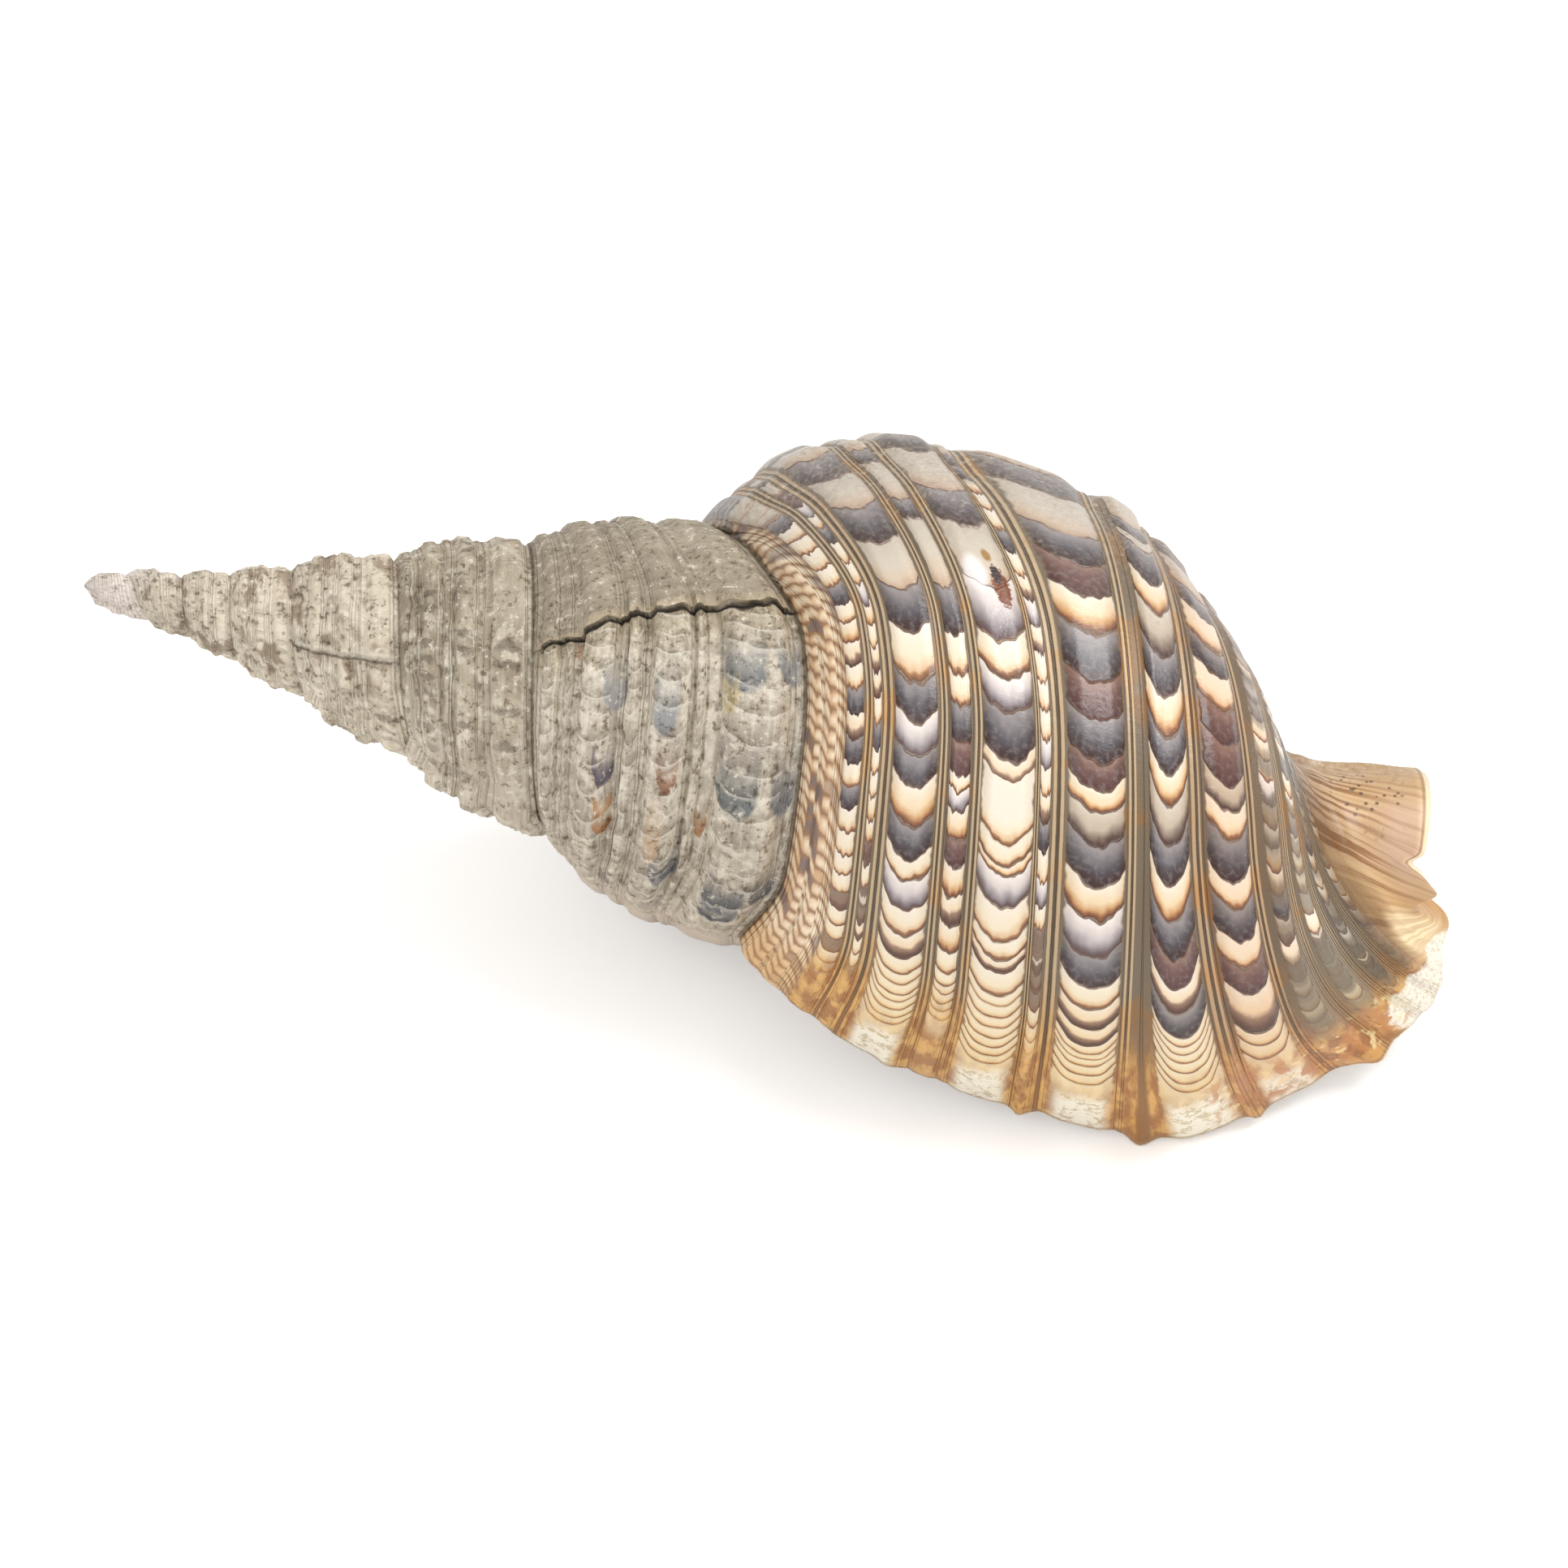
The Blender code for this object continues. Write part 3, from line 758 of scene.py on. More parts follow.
THREADED = (5, 7, 11, 13)              # narrow ribs that are a pair of plain threads
FRONT_RIBS = 24.5                      # ribs and grooves with higher numbers are in front of the widest part,
FRONT_CORDS = 30.5                     # and those above this one are the fine cords of the front
SCALES_A_TURN = 72.0                   # random scales in one turn of a rib
BEAD_ROWS = 19.0                       # rows of beads in a step of 1 across the band
BEADS_A_TURN = 92.0                    # beads in one turn of a row
OLD_BEADS = 46.0                       # dark beads in one turn of a rib of the spire
OLD_SCALES = 52.0                      # scale lines in one turn of such a rib
OLD_EDGES = ((3.165, 0.02), (1.985, -0.02))      # age and lean of the edges of two older lips
WRINKLES = 34.0                        # wrinkles of the pillar in a step of 1 along F
TEETH = 7.0                            # pairs of teeth in such a step
RAMP_STOPS = 32                        # a colour ramp holds no more


def scale_stops(text, low, high):
    """Stops of a rib's scales between two ages: the way along each, 1 at its young end, and its kind."""
    ends = [(int(word[:3]) / 1000, (KINDS.index(word[3]) + 0.5) / len(KINDS)) for word in text.split()]
    ends = [(MARKED[0] - 0.01, ends[0][1])] + ends + [(MARKED[2] + 0.02, 0.0)]
    stops = []
    for (young, kind), (old, _) in zip(ends, ends[1:]):
        a = max(young, low)
        b = min(old, high)
        if b - a < 0.001:
            continue
        for at_age, edge in ((a, 0.02), (b, -0.02)):
            share = 1 - (at_age - young) / (old - young)
            stops.append(((at_age - low) / (high - low) + edge * 0.1, (share, kind, 0.0)))
    return stops[:RAMP_STOPS]


def kind_stops(rows):
    """Colours of four kinds in one ramp, a quarter each."""
    return [((k + 0.03 + 0.94 * row[i]) / len(rows), tuple(row[i + 1:i + 4]))
            for k, row in enumerate(rows) for i in range(0, len(row), 4)]


def scale_colour(g, kind, share):
    """Colour of a scale from its kind (0 to 8) and the way along it (0 to 1)."""
    first = g.ramp((kind + share) / 4.0, kind_stops(SCALES[:4]))
    second = g.ramp((kind - 4.0 + share) / 4.0, kind_stops(SCALES[4:]))
    return g.mix(kind.rise(3.4, 3.6), first, second)


def picked(g, luck, shares):
    """A kind drawn by luck: shares are (kind, upper end of its share)."""
    stops = []
    low = 0.0
    for kind, high in shares:
        level = (KINDS.index(kind) + 0.5) / len(KINDS)
        stops += [(low, level), (high - 0.004, level)]
        low = high
    return g.floor(g.split(g.ramp(luck, stops))[0] * 8.0)


def ribs_of(g, s, growth, marked):
    """Kind of the scale at a point of a rib, the way along it, and 1 between two scales."""
    n = g.n
    grow = s.rise(0.16, 0.05)
    crowd = 6.0 * (1.0 - g.math("POWER", 2.718, s * -16.0)) * g.math("LESS_THAN", n, FRONT_CORDS)
    q = s * SCALES_A_TURN + crowd + n * 0.618 + growth * 0.8
    cell = g.floor(q)
    share = 1.0 - g.part(q)
    luck = g.chance(n, cell)
    cords = picked(g, luck, (("c", 0.42), ("d", 0.56), ("o", 0.74), ("l", 0.82), ("s", 0.95), ("r", 1.0)))
    old = picked(g, luck, (("p", 0.4), ("g", 0.52), ("c", 0.58), ("s", 0.9), ("r", 1.0)))
    aged = s.rise(0.33, 0.42)
    kind = g.math("ROUND", cords + (old - cords) * g.above(aged, 0.5))
    kind = kind * (1.0 - grow)
    total = g.vector(share, (kind + 0.5) / 8.0, 0.0)
    later = g.above(s, MARKED[1])
    for index, text in MARKS.items():
        near, far = (g.ramp((s - low) / (high - low), scale_stops(text, low, high))
                     for low, high in zip(MARKED, MARKED[1:]))
        here = g.is_number(n, 2 * index + 1) * marked
        total.over(here, g.mix(later, near, far))
    share, kind = g.split(total)[:2]
    between = abs(g.part(kind * 8.0) - 0.5).rise(0.06, 0.12)
    return g.floor(kind * 8.0), share, between


class WallGraph(Graph):
    """A material of the wall, with the places and grains that its colours depend on."""

    def __init__(self, name):
        super().__init__(bpy.data.materials.new(name))
        number, self.at = self.uv("rib")
        self.age, self.f = self.uv("growth")
        self.side, _ = self.uv("side")
        self.point = self.signal("TexCoord", "Object")
        self.n = self.floor(number)                    # number of the rib or groove: ribs are odd
        self.t = (number - self.n) * 2.0 - 1.0         # the way across it, from -1 to 1
        self.odd = self.math("MODULO", self.n, 2.0)
        self.grain = self.noise(self.point, 900.0, 3.0)
        self.patch = self.noise(self.point, 70.0, 3.0)
        self.stray = self.patch - 0.5
        self.speckle = self.grain - 0.5
        self.wander = self.drift(self.age * 150.0, number * 2.2, 1.0) - 0.5
        self.zigzag = self.drift(self.age * 60.0, number * 4.5, 1.0) - 0.5
        self.warp = self.drift(self.age * 16.0, self.n * 3.7, 1.0) - 0.5
        self.rib = self.odd * (abs(self.t) + self.wander * 0.25).rise(1.02, 0.9)

    def lines(self):
        """Growth lines along the lip."""
        return self.drift(self.age * 260.0, self.f * 5.0, 3.0, 0.6)

    def flecks(self):
        return self.noise(self.point, 2600.0, 2.0)

    def on(self, indexes):
        """1 on the ribs with these indexes in RIBS."""
        return sum(self.is_number(self.n, 2 * index + 1) for index in indexes)

    def oval(self, middle, size):
        """Distance from a place given as (age, g): 1 at the size given in the same way."""
        x = (self.age - middle[0]) / size[0]
        y = (self.at - middle[1]) / size[1]
        return self.root(x * x + y * y)

    def spot(self, middle, size):
        """1 at a place, falling to 0 at about the size."""
        return self.oval(middle, size).rise(1.15, 0.55)

    def behind_old_lip(self):
        """Turns behind the edge of the old lip."""
        f = self.f
        wave = self.math("SINE", f * 21.0) * 0.003 * f.rise(0.05, 0.2)
        return self.age - (OLD_LIP + 0.13 * f - 0.06 * f * f) - wave

    def finish(self, colour, rough, height):
        bump = self.signal("Bump", 0, {"Distance": 0.0005, "Strength": 0.75, "Height": height})
        self.set_up("Principled BSDF", {
            "Base Color": colour, "Roughness": rough, "Normal": bump, "Specular IOR Level": 0.5})
        return self.owner


def wear(g, colour, share):
    """Dark pits and pale chips of a worn surface."""
    worn = g.noise(g.point, 520.0, 4.0, 0.75)
    colour.dim(worn.rise(0.44, 0.36) * share * 0.75, (0.46, 0.4, 0.32))
    colour.over(worn.rise(0.585, 0.65) * share * 0.55, (0.74, 0.67, 0.56))


def last_whorl_material():
    """The last whorl, up to the edge of its lip and the end of the canal."""
    g = WallGraph("triton_last_whorl")
    colour, level = ribs_and_grooves(g)
    band_colour(g, colour)
    front_colour(g, colour)
    chip_colour(g, colour)

    # Worn, greyish older part, painted shade on the upper and the right side, and a darker line along the
    # suture.
    dull = (g.age + g.stray * 0.16).rise(0.27, 0.46)
    speckled = g.mix(g.grain.rise(0.42, 0.62), (0.25, 0.2, 0.15), (0.52, 0.45, 0.355))
    colour.over(dull * 0.38, speckled)
    # Painted shade: the upper, older side of the whorl darker.
    colour.dim(g.age.rise(0.28, 0.37), (0.89, 0.9, 0.93))
    # Painted shade: the right side of the whorl darker, and its colour warmer.
    colour.dim(g.at.window(1.2, 1.32, 1.62, 1.5), (0.92, 0.83, 0.77))
    wear(g, colour, dull * 0.8)
    colour.over((g.age + g.wander * 0.02).rise(*COVERED), BESIDE_MOUTH)
    # Darker along the suture.
    crease_dark = (g.f + g.wander * 0.01).rise(0.009, 0.002) * 0.7
    colour.over(crease_dark * 0.9, CREASE_BROWN)
    rim = g.bump_at(g.side, 0.5, 0.3)
    edge = g.top(rim, g.age.rise(0.0045, 0.003) * g.f.rise(1.95, 1.9))
    colour.over(edge, g.mix(g.grain.rise(0.4, 0.6), (0.58, 0.4, 0.22), (0.74, 0.58, 0.38)))
    plain_wall = g.at.rise(1.76, 1.7)
    height = (g.lines() * 0.25 + level) * plain_wall + g.grain * 0.15 + g.flecks() * 0.12 - crease_dark * 1.2
    rough = 0.27 + 0.12 * dull + g.speckle * 0.25 + 0.1 * (1.0 - g.rib)
    rough = rough - 0.07 * g.age.rise(0.1, 0.0)
    return g.finish(colour, rough, height)


def spire_material():
    """The worn whorls behind the last one."""
    g = WallGraph("triton_spire")
    lines = g.lines()
    colour, raised = spire_colour(g)
    wear(g, colour, 1.25)

    # Darker in the sutures, and painted shadow in the crack under the old lip.
    gap = g.behind_old_lip()
    crack = g.bump_at(gap + g.wander * 0.002, -0.0012, 0.0019) * g.f.rise(0.015, 0.06)
    suture = (g.f + g.wander * 0.01).rise(0.012, 0.003)
    above = (g.f + g.wander * 0.01).rise(0.988, 0.997)
    crease_dark = g.top(crack, g.top(suture, above) * (0.7 - 0.5 * g.age.rise(2.0, 2.6)))
    colour.over(crease_dark * 0.9, CREASE_BROWN)
    # Painted shadow: the crack under the old lip's overhanging edge, near black.
    colour.over(crack * 0.95, (0.014, 0.009, 0.005))
    height = lines * 0.6 + g.grain * 0.9 + g.flecks() * 0.12 + raised - crease_dark * 1.2
    rough = 0.64 + g.speckle * 0.25 - g.rib * 0.04
    return g.finish(colour, rough, height)


def porcelain_material():
    """The hollow behind the lip."""
    g = WallGraph("triton_porcelain")
    colour, teeth = inside_colour(g)
    height = teeth * 2.0 + g.patch * 0.2
    return g.finish(colour, 0.15 + g.speckle * 0.15, height)


def ribs_and_grooves(g):
    """Colour of the last whorl's ribs and grooves, and the height of their fine relief."""
    age, at, n, t, odd, patch = g.age, g.at, g.n, g.t, g.odd, g.patch
    wander, warp = g.wander, g.warp
    broad = g.on(BROAD)
    front_ribs = g.above(n, FRONT_RIBS)
    bow = 0.0035 + 0.0065 * broad + 0.0075 * front_ribs
    s = age - bow * t * t + wander * 0.003 + g.zigzag * 0.006 * age.rise(0.09, 0.14)
    kind, share, between = ribs_of(g, s, warp, s.rise(MARKED[2], 0.42))
    share = share + g.speckle * 0.1
    rib_colour = scale_colour(g, kind, g.low(g.top(share, 0.0), 1.0))
    rib_colour.over(between * 0.85, (0.15, 0.075, 0.045))
    dark_kind = kind.rise(4.5, 5.5)
    rib_colour.dim(abs(t).rise(0.5, 0.95) * (0.25 + 0.4 * dark_kind), (0.62, 0.52, 0.42))
    mottle = g.drift(age * 320.0, at * 60.0).rise(0.45, 0.7)
    rib_colour.over(mottle * dark_kind * 0.22, (0.36, 0.32, 0.31))

    # Grooves: dark olive with pale threads in pairs, orange in places.
    stain = (patch + warp * 0.3).rise(0.5, 0.64)
    young = (age + g.stray * 0.06).rise(0.115, 0.055)
    groove = g.mix(g.top(stain * 0.7, young), OLIVE, AMBER)
    paired = g.on(THREADED)
    beside = sum(g.is_number(abs(n - (2.0 * index + 1.0)), 1) for index in THREADED)
    plain = g.above(n, FRONT_CORDS)
    across = t + (1.0 - g.swing(at * 42.0) * 2.0 - t) * plain
    thread_place = abs(abs(across) - 0.46)
    thread = (thread_place + wander * 0.1).rise(0.34, 0.16) * (1.0 - odd) * (1.0 - beside)
    thread = g.top(thread, paired * (abs(t) + wander * 0.1).rise(0.22, 0.42))
    middle = abs(across).rise(0.22, 0.05) * (1.0 - odd)
    middle = g.top(middle, paired * abs(t).rise(0.3, 0.1)) * age.rise(0.01, 0.09)
    groove.over(middle * (0.85 - 0.65 * beside), DEEP_OLIVE)
    thread_colour = g.mix(g.top(stain * 0.8, young), THREAD, (0.58, 0.32, 0.12))
    groove.over(thread, thread_colour)
    narrow = (abs(t) + wander * 0.2).rise(0.72, 0.56)
    rib_mask = g.rib * (1.0 - paired) * (1.0 - plain * (1.0 - narrow))
    olive = plain * g.drift(s * 40.0, n * 5.0, 1.0).rise(0.4, 0.54)
    rib_colour.over(olive * 0.8, (0.155, 0.12, 0.08))
    colour = g.mix(rib_mask, groove, rib_colour)

    # Gold beside the grooves at the lip, white on the ends of the broad ribs.
    wide = (abs(t) + g.stray * 1.6).rise(0.55, 0.95)
    golden = g.drift(age * 60.0, at * 30.0, 3.0).rise(0.42, 0.6)
    flank = g.mix(golden, (0.36, 0.15, 0.032), (0.68, 0.4, 0.135))
    slope = age + g.stray * 0.05
    ended = broad + g.on((14,))
    front = slope.rise(0.1, 0.05) * (1.0 - plain) + slope.rise(0.07, 0.035) * plain
    narrow_gold = front * g.top(odd, abs(t).rise(0.2, 0.5)) * (1.0 - ended)
    broad_gold = ended * slope.rise(0.075, 0.03) * g.top(wide, age.rise(0.025, 0.04) * 0.6)
    colour.over(g.top(narrow_gold * 0.92, broad_gold * 0.85), flank)
    speck = g.noise(g.point, 380.0, 5.0, 0.75).rise(0.5, 0.58)
    white = g.mix(speck * 0.75, (0.88, 0.82, 0.67), (0.46, 0.34, 0.17))
    end = (age + g.stray * 0.035).rise(0.05, 0.034) * ended * abs(t).rise(0.98, 0.55)
    colour.dim(age.rise(0.13, 0.05) * 0.9, (0.97, 0.89, 0.66))
    colour.over(end, white)
    hem = age.window(0.0075, 0.0055, 0.0035, 0.005)
    colour.over(hem * 0.6, (0.3, 0.17, 0.06))
    height = thread * 1.1 - middle * 0.9 + rib_mask * share * 0.8
    return colour, height


def band_colour(g, colour):
    """The beaded band below the suture."""
    age, at = g.age, g.at
    here = (at + g.stray * 0.01).rise(0.168, 0.155) * age.rise(1.02, 0.98)
    column = g.floor(at * BEAD_ROWS)
    across = (g.part(at * BEAD_ROWS) - 0.5) * 2.0
    q = age * BEADS_A_TURN + at * 14.0 + across * across * 0.3 + g.chance(column, 3.0) * 3.0 + g.warp * 2.0
    cell = g.floor(q)
    part = (g.part(q) - 0.5) * 2.0
    luck = g.chance(column + 7.0, cell)
    off_middle = g.root(part * part * 0.9 + across * across * 0.35) + g.speckle * 0.45
    pale = g.mix(g.chance(cell, column), (0.82, 0.62, 0.41), (0.62, 0.39, 0.21))
    pale.over(luck.rise(0.86, 0.9), (0.22, 0.15, 0.125))
    # The beads' pale middles and brown gaps: partly their colour, partly painted shade towards their edges.
    bead = g.mix(off_middle.rise(1.02, 0.48), (0.31, 0.17, 0.09), pale)
    # Painted highlight on the middles of some beads.
    bead.over(off_middle.rise(0.62, 0.15) * luck.rise(0.86, 0.8) * 0.75, (0.9, 0.77, 0.58))
    smudge = g.drift(age * 30.0, at * 9.0, 1.0).rise(0.58, 0.68) * at.rise(0.07, 0.11)
    bead.over(smudge * 0.6, (0.17, 0.13, 0.125))
    # Near the lip, orange beads lighter on their bulge: partly their colour, partly painted light.
    bulge = off_middle.rise(1.0, 0.5)
    corner = age.rise(0.075, 0.03)
    bead.over(corner * 0.8, g.mix(bulge, (0.36, 0.17, 0.055), (0.66, 0.4, 0.17)))
    colour.over(here, bead)


def front_colour(g, colour):
    """The fold at the front corner and the canal: golden tan to pink, with curved lines and pits."""
    age, at, point, patch = g.age, g.at, g.point, g.patch
    canal = (at + g.stray * 0.03).rise(1.68, 1.78)
    tan = g.mix(patch.rise(0.4, 0.65), (0.64, 0.41, 0.2), (0.7, 0.47, 0.28))
    pink = at.rise(1.88, 1.95) * age.rise(0.36, 0.24) * age.rise(0.15, 0.18)
    tan.over(pink * 0.5, (0.78, 0.54, 0.44))
    lines = g.drift(age * 95.0 + at * 26.0 + g.stray * 1.5, at * 2.0)
    ruled = 0.35 + 0.65 * at.rise(1.95, 1.84)
    tan.dim(lines.rise(0.52, 0.62) * ruled * 0.9, (0.45, 0.29, 0.15))
    tan.over(lines.rise(0.46, 0.36) * ruled * 0.6, (0.86, 0.62, 0.34))
    pit = g.cells(point, 560.0).rise(0.3, 0.18)
    pits = g.spot((0.3, 1.9), (0.09, 0.07)) * pit
    tan.over(pits * 0.8, (0.09, 0.045, 0.02))
    root = at.rise(1.85, 1.72)
    tan.dim(root * 0.5, (0.66, 0.5, 0.32))
    tan.over(g.bump_at(at, 1.988, 0.004) * 0.8, (0.34, 0.2, 0.09))
    tan.over(at.rise(1.99, 1.993), (0.86, 0.7, 0.48))
    tan.dim(at.rise(1.985, 1.975), (0.86, 0.84, 0.82))
    colour.over(canal, tan)
    near = age.rise(0.15, 0.1)
    orange = g.mix(lines.rise(0.42, 0.62), (0.56, 0.31, 0.115), (0.4, 0.21, 0.07))
    colour.over(near * at.rise(1.72, 1.77) * 0.75, orange)
    yellow = g.spot((0.06, 1.83), (0.055, 0.085))
    colour.over(yellow * (0.55 + 0.45 * lines.rise(0.5, 0.4)), (0.87, 0.7, 0.42))
    speck = g.noise(point, 1100.0, 4.0, 0.7).rise(0.5, 0.6)
    crust = g.top(g.spot((0.016, 1.67), (0.028, 0.1)), g.spot((0.012, 1.79), (0.022, 0.09)) * 0.75)
    crust = (crust + (g.noise(point, 260.0, 4.0, 0.7) - 0.5) * 1.1).rise(0.3, 0.7)
    colour.over(crust * 0.9, g.mix(speck * 0.6, (0.9, 0.84, 0.71), (0.5, 0.42, 0.31)))
    blot = g.drift(age * 44.0, at * 15.0, 3.0, 0.65)
    front = age.window(0.07, 0.045, 0.008, 0.016) * at.rise(1.16, 1.24) * at.rise(1.66, 1.6)
    colour.over(front * blot.rise(0.5, 0.57) * 0.9, (0.5, 0.21, 0.055))
    colour.over(front * blot.rise(0.44, 0.38) * 0.9, (0.86, 0.68, 0.34))
    olive = g.spot((0.085, 1.55), (0.045, 0.13))
    colour.over(olive * 0.55, (0.19, 0.15, 0.09))
    # Painted shade: the front between the base and the canal darker, apart from the yellow patch.
    behind = at.window(1.88, 1.76, 1.6, 1.68) * age.rise(0.03, 0.06) * (1.0 - yellow * 0.9)
    colour.dim(behind, (0.56, 0.55, 0.54))


def chip_colour(g, colour):
    """A chip on the rib beside the middle, red-brown with its core in painted shade, a white and an ochre
    patch by it.
    """
    rag = (g.noise(g.point, 1500.0, 2.0) - 0.5) * 0.8
    chip = (g.oval((0.3, 0.672), (0.0125, 0.026)) + rag).rise(1.0, 0.75)
    core = (g.oval((0.307, 0.668), (0.0065, 0.015)) + rag).rise(1.0, 0.7)
    white = g.spot((0.307, 0.612), (0.011, 0.036))
    ochre = g.spot((0.3175, 0.66), (0.004, 0.014))
    colour.over(white * 0.9, (0.86, 0.8, 0.78))
    colour.over(ochre, (0.36, 0.19, 0.05))
    colour.over(chip, (0.19, 0.05, 0.012))
    # Painted shade: the near-black core of the chip's hole.
    colour.over(core, (0.03, 0.012, 0.006))


# Smudges on the younger part of the whorl before: age and place of the middle, sizes, and colour.
SMUDGES = thousandths("""
1250 845 22 50  200 205 210
1258 950 18 35  240 245 250
1214 640 26 45  280 285 290
1218 450 22 35  300 290 280
1188 846 20 50  340 290 240
1163 852 20 50  140 150 150
1172 660 12 40  360 290 230
1156 665 10 36  280 130  65
1172 955 26 30  200 205 210
1151 430 16 30  110  90 110
1116 432  9 28  500 270 120
1100 440  9 26  420 200  80
1085 690 20 50  120 125 135
1075 868 16 50  130 140 150
1056 872 12 48  100 100 110
1085 950 16 30  140 140 150
1024 480 14 32  100  80 100
1124 775 12 18  360 180  80
1120 640 30 30  520 380 250
1226 820 14 20  500 410 220
1240 300  8 15  400 190 110
1020 700 16 45  260 240 230
""")


def spire_colour(g):
    """Colour and fine relief of the spire: chalky grey and beige, with cords, blotches and old lips."""
    age, f, at, n, t, odd = g.age, g.f, g.at, g.n, g.t, g.odd
    point, grain, patch = g.point, g.grain, g.patch
    streak = g.drift(age * 12.0, at * 30.0, 3.0, 0.65)
    crust = g.noise(point, 260.0, 4.0, 0.7)
    chalk = g.mix(patch.rise(0.38, 0.62), (0.36, 0.295, 0.215), (0.53, 0.46, 0.355))
    chalk.over(streak.rise(0.46, 0.62) * 0.55, (0.64, 0.58, 0.47))
    chalk.over(crust.rise(0.5, 0.62) * 0.7, (0.72, 0.66, 0.545))

    # Cords: a pale thread on each side of a rib, a dark line beside it, dark beads along the rib.
    thread = abs(t).rise(0.72, 0.9) * odd
    furrow = (1.0 - odd) * abs(t).rise(0.5, 0.85)
    cords = g.drift(age * 5.0, n * 3.1, 1.0).rise(0.4, 0.6)
    chalk.over(thread * 0.6 * cords, (0.68, 0.61, 0.49))
    chalk.dim(furrow * 0.65 * cords, (0.4, 0.35, 0.28))
    q = age * OLD_BEADS + n * 0.37 + g.stray * 2.0
    cell = g.floor(q)
    along = g.part(q) - 0.5
    bead_place = g.root(along * along * 5.0 + t * t * 0.6)
    bead = (bead_place + g.speckle * 0.8).rise(0.75, 0.3) * odd * g.above(g.chance(n, cell), 0.62)
    chalk.over(bead * 0.7, (0.17, 0.13, 0.095))

    # Painted shade on the upper side of the whorls about 2.3 and 3.3 turns back, painted light on the lower
    # side about 2 turns back.
    chalk.dim(g.bump_at(age, 2.33, 0.27), (0.68, 0.665, 0.62))
    chalk.dim(g.bump_at(age, 3.32, 0.3), (0.7, 0.695, 0.68))
    chalk.over(g.bump_at(age, 1.96, 0.22) * 0.3, (0.74, 0.67, 0.55))

    # Blotches, most of them on the early whorls, and the pale tip.
    early = age.rise(2.6, 3.3)
    chalk.over(early * crust.rise(0.36, 0.52) * 0.6, (0.74, 0.65, 0.51))
    blotch = g.drift(age * 7.0, at * 3.2, 3.0, 0.6).rise(0.53, 0.61)
    chalk.over(blotch * (0.3 + 0.5 * early), (0.25, 0.18, 0.115))
    tip = (age + g.stray * 0.5).rise(6.25, 6.55)
    chalk.over(tip * (0.6 + 0.4 * crust.rise(0.4, 0.6)), (0.82, 0.73, 0.67))

    # Smooth olive-grey wall behind the old lip, with lines parallel to it.
    gap = g.behind_old_lip()
    smooth_part = gap.rise(-0.001, 0.001) * (gap + g.stray * 0.25).rise(0.42, 0.26)
    parallel = g.drift(gap * 120.0, f * 2.5, 3.0, 0.6)
    bare = g.mix(parallel.rise(0.42, 0.62), (0.26, 0.215, 0.15), (0.35, 0.295, 0.215))
    bare.over(crust.rise(0.58, 0.68) * 0.5, (0.5, 0.44, 0.33))
    bare.over(grain.rise(0.6, 0.7) * 0.5, (0.14, 0.11, 0.07))
    bare.dim(1.0, (0.92, 0.91, 0.9))
    chalk.over(smooth_part * 0.8, bare)
    lip_edge = gap.rise(0.0, 0.001) * (gap + g.stray * 0.02).rise(0.012, 0.003)
    chalk.over(lip_edge * 0.6, (0.48, 0.39, 0.26))

    # Younger part, with what is left of its colours, in the crescents of the ribs.
    newer = gap.rise(0.0, -0.002)
    along = g.drift(age * 10.0, at * 75.0, 3.0, 0.7)
    pale = g.mix(crust.rise(0.4, 0.66), (0.44, 0.385, 0.305), (0.66, 0.595, 0.49))
    pale.over(along.rise(0.52, 0.64) * 0.5, (0.7, 0.65, 0.55))
    pale.dim(along.rise(0.46, 0.38) * 0.35, (0.6, 0.56, 0.5))
    pale.dim(furrow * 0.5, (0.55, 0.5, 0.42))
    pale.over(thread * 0.5, (0.66, 0.59, 0.48))
    # Painted shadow of the old lip's edge on the newer wall just under it.
    pale.dim(gap.rise(-0.05, -0.003) * 0.6, (0.66, 0.6, 0.46))
    rag = (g.noise(point, 420.0, 3.0) - 0.5) * 0.9
    faint = 1.0 - 0.35 * crust.rise(0.5, 0.64)
    for middle_age, middle, long, wide, *tone in SMUDGES:
        y = (at - middle) / wide
        x = (age - 0.013 * y * y - middle_age) / long
        here = (abs(y) + rag * 0.5).rise(1.1, 0.75)
        here = here * (x + rag * 0.6).rise(1.2, -0.9) * (x + rag * 0.4).rise(-1.2, -0.95)
        pale.over(here * faint, tone)
    q = age * OLD_SCALES - t * t * 0.5 + n * 0.37 + g.warp * 2.5 + rag * 0.12
    scale = g.part(q)
    kept = odd * crust.rise(0.66, 0.5) * abs(t).rise(1.0, 0.8)
    pale.dim(scale.rise(0.55, 0.04) * kept * 0.55, (0.5, 0.45, 0.4))
    pale.over(scale.rise(0.8, 0.97) * kept * 0.45, (0.7, 0.66, 0.58))
    pale.dim(age.rise(1.16, 1.07), (0.88, 0.86, 0.84))
    chalk.over(newer, pale)
    chalk.over((age + g.wander * 0.02).rise(1.04, 0.995), BESIDE_MOUTH)

    # What is raised, and the edges of two older lips with the crack in front of each, the crack in painted
    # shade.
    raised = thread * 0.9 - furrow * 0.9 - bead * 0.7 + smooth_part * (parallel - 0.5) * 1.6 + lip_edge * 0.8
    raised = raised + crust * 0.8
    for edge_age, lean_by in OLD_EDGES:
        off = age - (edge_age + lean_by * f)
        ridge = g.bump_at(off + g.speckle * 0.004, 0.009, 0.011)
        crack = g.bump_at(off, -0.002, 0.004)
        chalk.over(ridge * 0.7, (0.68, 0.62, 0.5))
        # Painted shade in the crack in front of the old lip.
        chalk.over(crack * 0.8, (0.1, 0.08, 0.055))
        raised = raised + ridge * 1.6 - crack * 1.2

    dots = g.cells(point, 420.0).rise(0.2, 0.1) * patch.rise(0.47, 0.6)
    chalk.over(dots * 0.5, (0.09, 0.07, 0.05))
    return chalk, raised - dots


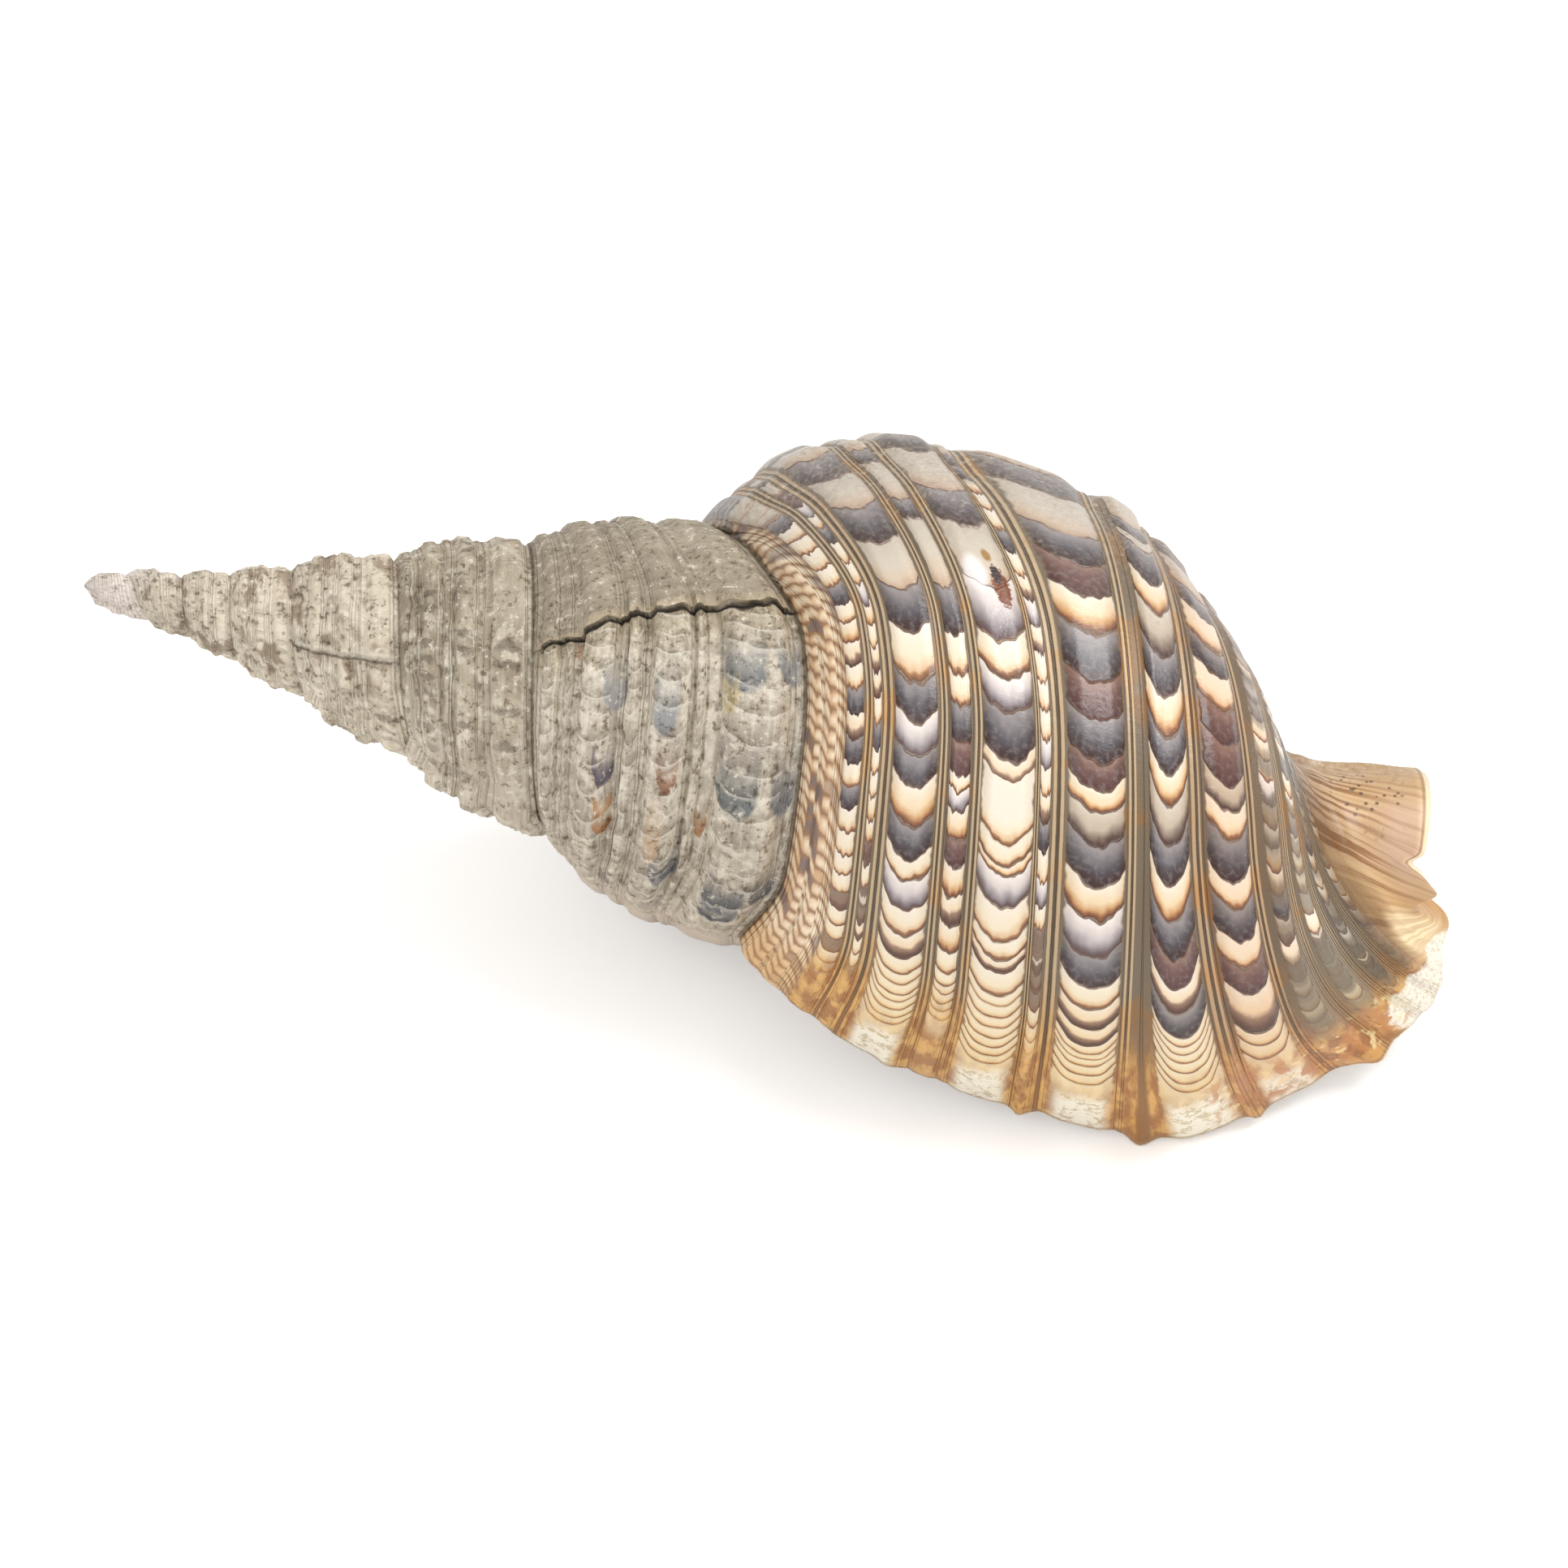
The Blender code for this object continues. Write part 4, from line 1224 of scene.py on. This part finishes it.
def inside_colour(g):
    """The porcelain of the hollow, the wrinkled pillar and the teeth behind the lip."""
    age, f = g.age, g.f
    porcelain = g.mix(age.rise(0.02, 0.35), (0.74, 0.46, 0.26), (0.8, 0.7, 0.58))
    porcelain.over(g.patch.rise(0.4, 0.7) * 0.3, (0.84, 0.72, 0.56))
    pillar = f.window(2.05, 2.25, 2.85, 2.6) * age.rise(0.5, 0.3)
    wrinkle = g.swing(f * WRINKLES + g.wander * 1.2)
    columella = g.mix(wrinkle.rise(0.35, 0.7), DEEP_BROWN, (0.78, 0.66, 0.5))
    porcelain.over(pillar, columella)
    tooth = g.swing(f * TEETH + 0.5)
    zone = age.window(0.05, 0.035, 0.004, 0.012) * f.rise(0.15, 0.25) * f.rise(1.75, 1.6)
    pair = g.bump_at(tooth, 0.22, 0.13) * zone
    porcelain.over(zone * tooth.rise(0.75, 0.55), DEEP_BROWN)
    porcelain.over(pair, (0.86, 0.78, 0.64))
    return porcelain, pair + wrinkle * pillar * 0.75


def floor_material():
    """Pale, and a little brighter to the camera than it is lit."""
    g = Graph(bpy.data.materials.new("pale_floor"))
    g.set_up("Principled BSDF", {"Base Color": (0.96, 0.96, 0.96), "Roughness": 0.85})
    lit = Signal(g, g.tree.nodes["Principled BSDF"].outputs[0])
    glow = g.signal("Emission", 0, {"Strength": g.signal("LightPath", "Is Camera Ray") * FLOOR_LIFT})
    g.set_up("Material Output", {0: g.signal("AddShader", 0, {0: lit, 1: glow})})
    return g.owner


# ---------------------------------------------------------------- floor, light and camera

FLOOR_LIFT = 0.29                      # how much brighter the floor is to the camera
CAMERA_EYE = (150.0, -401.5, 603.4)    # in the shell's own frame, mm from the tip of the spire
CAMERA_UP_ROLL = -11.2                 # the camera's roll about its view line, degrees
CAMERA_ELEVATION = 55.0
LENS = 78.26
AIM = (-0.0027, -0.0417)               # the picture's centre off the view line, as slopes
SKY = 0.82                             # strength of the even light from all sides
LAMPS = (                              # name, place, aim, size (m) and power (W)
    ("key", (0.62, 0.15, 1.32), (0.03, 0.0, 0.05), 0.9, 11.5),
    ("fill", (-0.7, -1.0, 1.1), (0.0, 0.0, 0.04), 1.2, 4.5),
)


def add_floor():
    """A wide pale floor just under the shell."""
    mesh = bpy.data.meshes.new("floor")
    bm = bmesh.new()
    bmesh.ops.create_grid(bm, x_segments=1, y_segments=1, size=3.0)
    bm.to_mesh(mesh)
    bm.free()
    floor = in_scene("floor", mesh)
    floor.location = (0, 0, -0.0002)
    floor.data.materials.append(floor_material())


def add_camera(tip):
    """The camera of the photo, which looks at the shell and then slopes to the picture's centre."""
    e = radians(CAMERA_ELEVATION)
    r = radians(CAMERA_UP_ROLL)
    back = Vector((0.0, -np.cos(e), np.sin(e)))
    level = Vector((1.0, 0.0, 0.0))
    rise = back.cross(level)
    right = level * np.cos(r) - rise * np.sin(r)
    up = level * np.sin(r) + rise * np.cos(r)
    look = -back + right * AIM[0] + up * AIM[1]
    back = -look.normalized()
    right = up.cross(back).normalized()
    up = back.cross(right)
    axes = REST @ Matrix((right, up, back)).transposed()
    data = bpy.data.cameras.new("camera")
    data.lens = LENS
    data.sensor_width = 36.0
    camera = in_scene("camera", data)
    eye = REST @ (Vector(CAMERA_EYE) * MM) + tip
    camera.matrix_world = Matrix.Translation(eye) @ axes.to_4x4()
    bpy.context.scene.camera = camera


def add_lamp(name, eye, aim, size, power):
    data = bpy.data.lights.new(name, "AREA")
    data.shape = "DISK"
    data.size = size
    data.energy = power
    lamp = in_scene(name, data)
    lamp.location = eye
    lamp.rotation_mode = "QUATERNION"
    lamp.rotation_quaternion = (Vector(aim) - Vector(eye)).to_track_quat("-Z", "Y")


def add_world():
    """Soft light from all sides, white to the camera."""
    world = bpy.data.worlds.new("studio")
    bpy.context.scene.world = world
    g = Graph(world)
    g.set_up("Background", {"Color": (1.0, 0.985, 0.97), "Strength": SKY})
    sky = Signal(g, g.tree.nodes["Background"].outputs[0])
    white = g.signal("Background", 0, {"Strength": 1.0})
    seen = g.signal("LightPath", "Is Camera Ray")
    g.set_up("World Output", {0: g.signal("MixShader", 0, {0: seen, 1: sky, 2: white})})


def paint(mesh):
    """Each face gets the material of the part of the wall it is on."""
    mesh.materials.clear()
    for material in (last_whorl_material(), spire_material(), porcelain_material()):
        mesh.materials.append(material)
    values = {}
    for name in ("growth", "side"):
        layer = np.empty(len(mesh.loops) * 2, np.float32)
        mesh.uv_layers[name].data.foreach_get("uv", layer)
        values[name] = layer[::2].reshape(-1, 3).mean(axis=1)
    kinds = np.where(values["side"] > 0.75, 2, np.where(values["growth"] > 1.0, 1, 0))
    mesh.polygons.foreach_set("material_index", kinds.astype(np.int32))


def main():
    tip = solid_tip()
    shell = mesh_object("shell_wall", body_shape(), tip)
    hollow = mesh_object("hollow", hollow_shape(), tip)
    carve(shell, hollow)
    paint(shell.data)
    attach(shell, "root")
    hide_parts(NODE)
    add_floor()
    add_world()
    for lamp in LAMPS:
        add_lamp(*lamp)
    add_camera(tip)
    bpy.context.scene.view_settings.view_transform = "Standard"
    print("triangles", len(shell.data.polygons))


main()
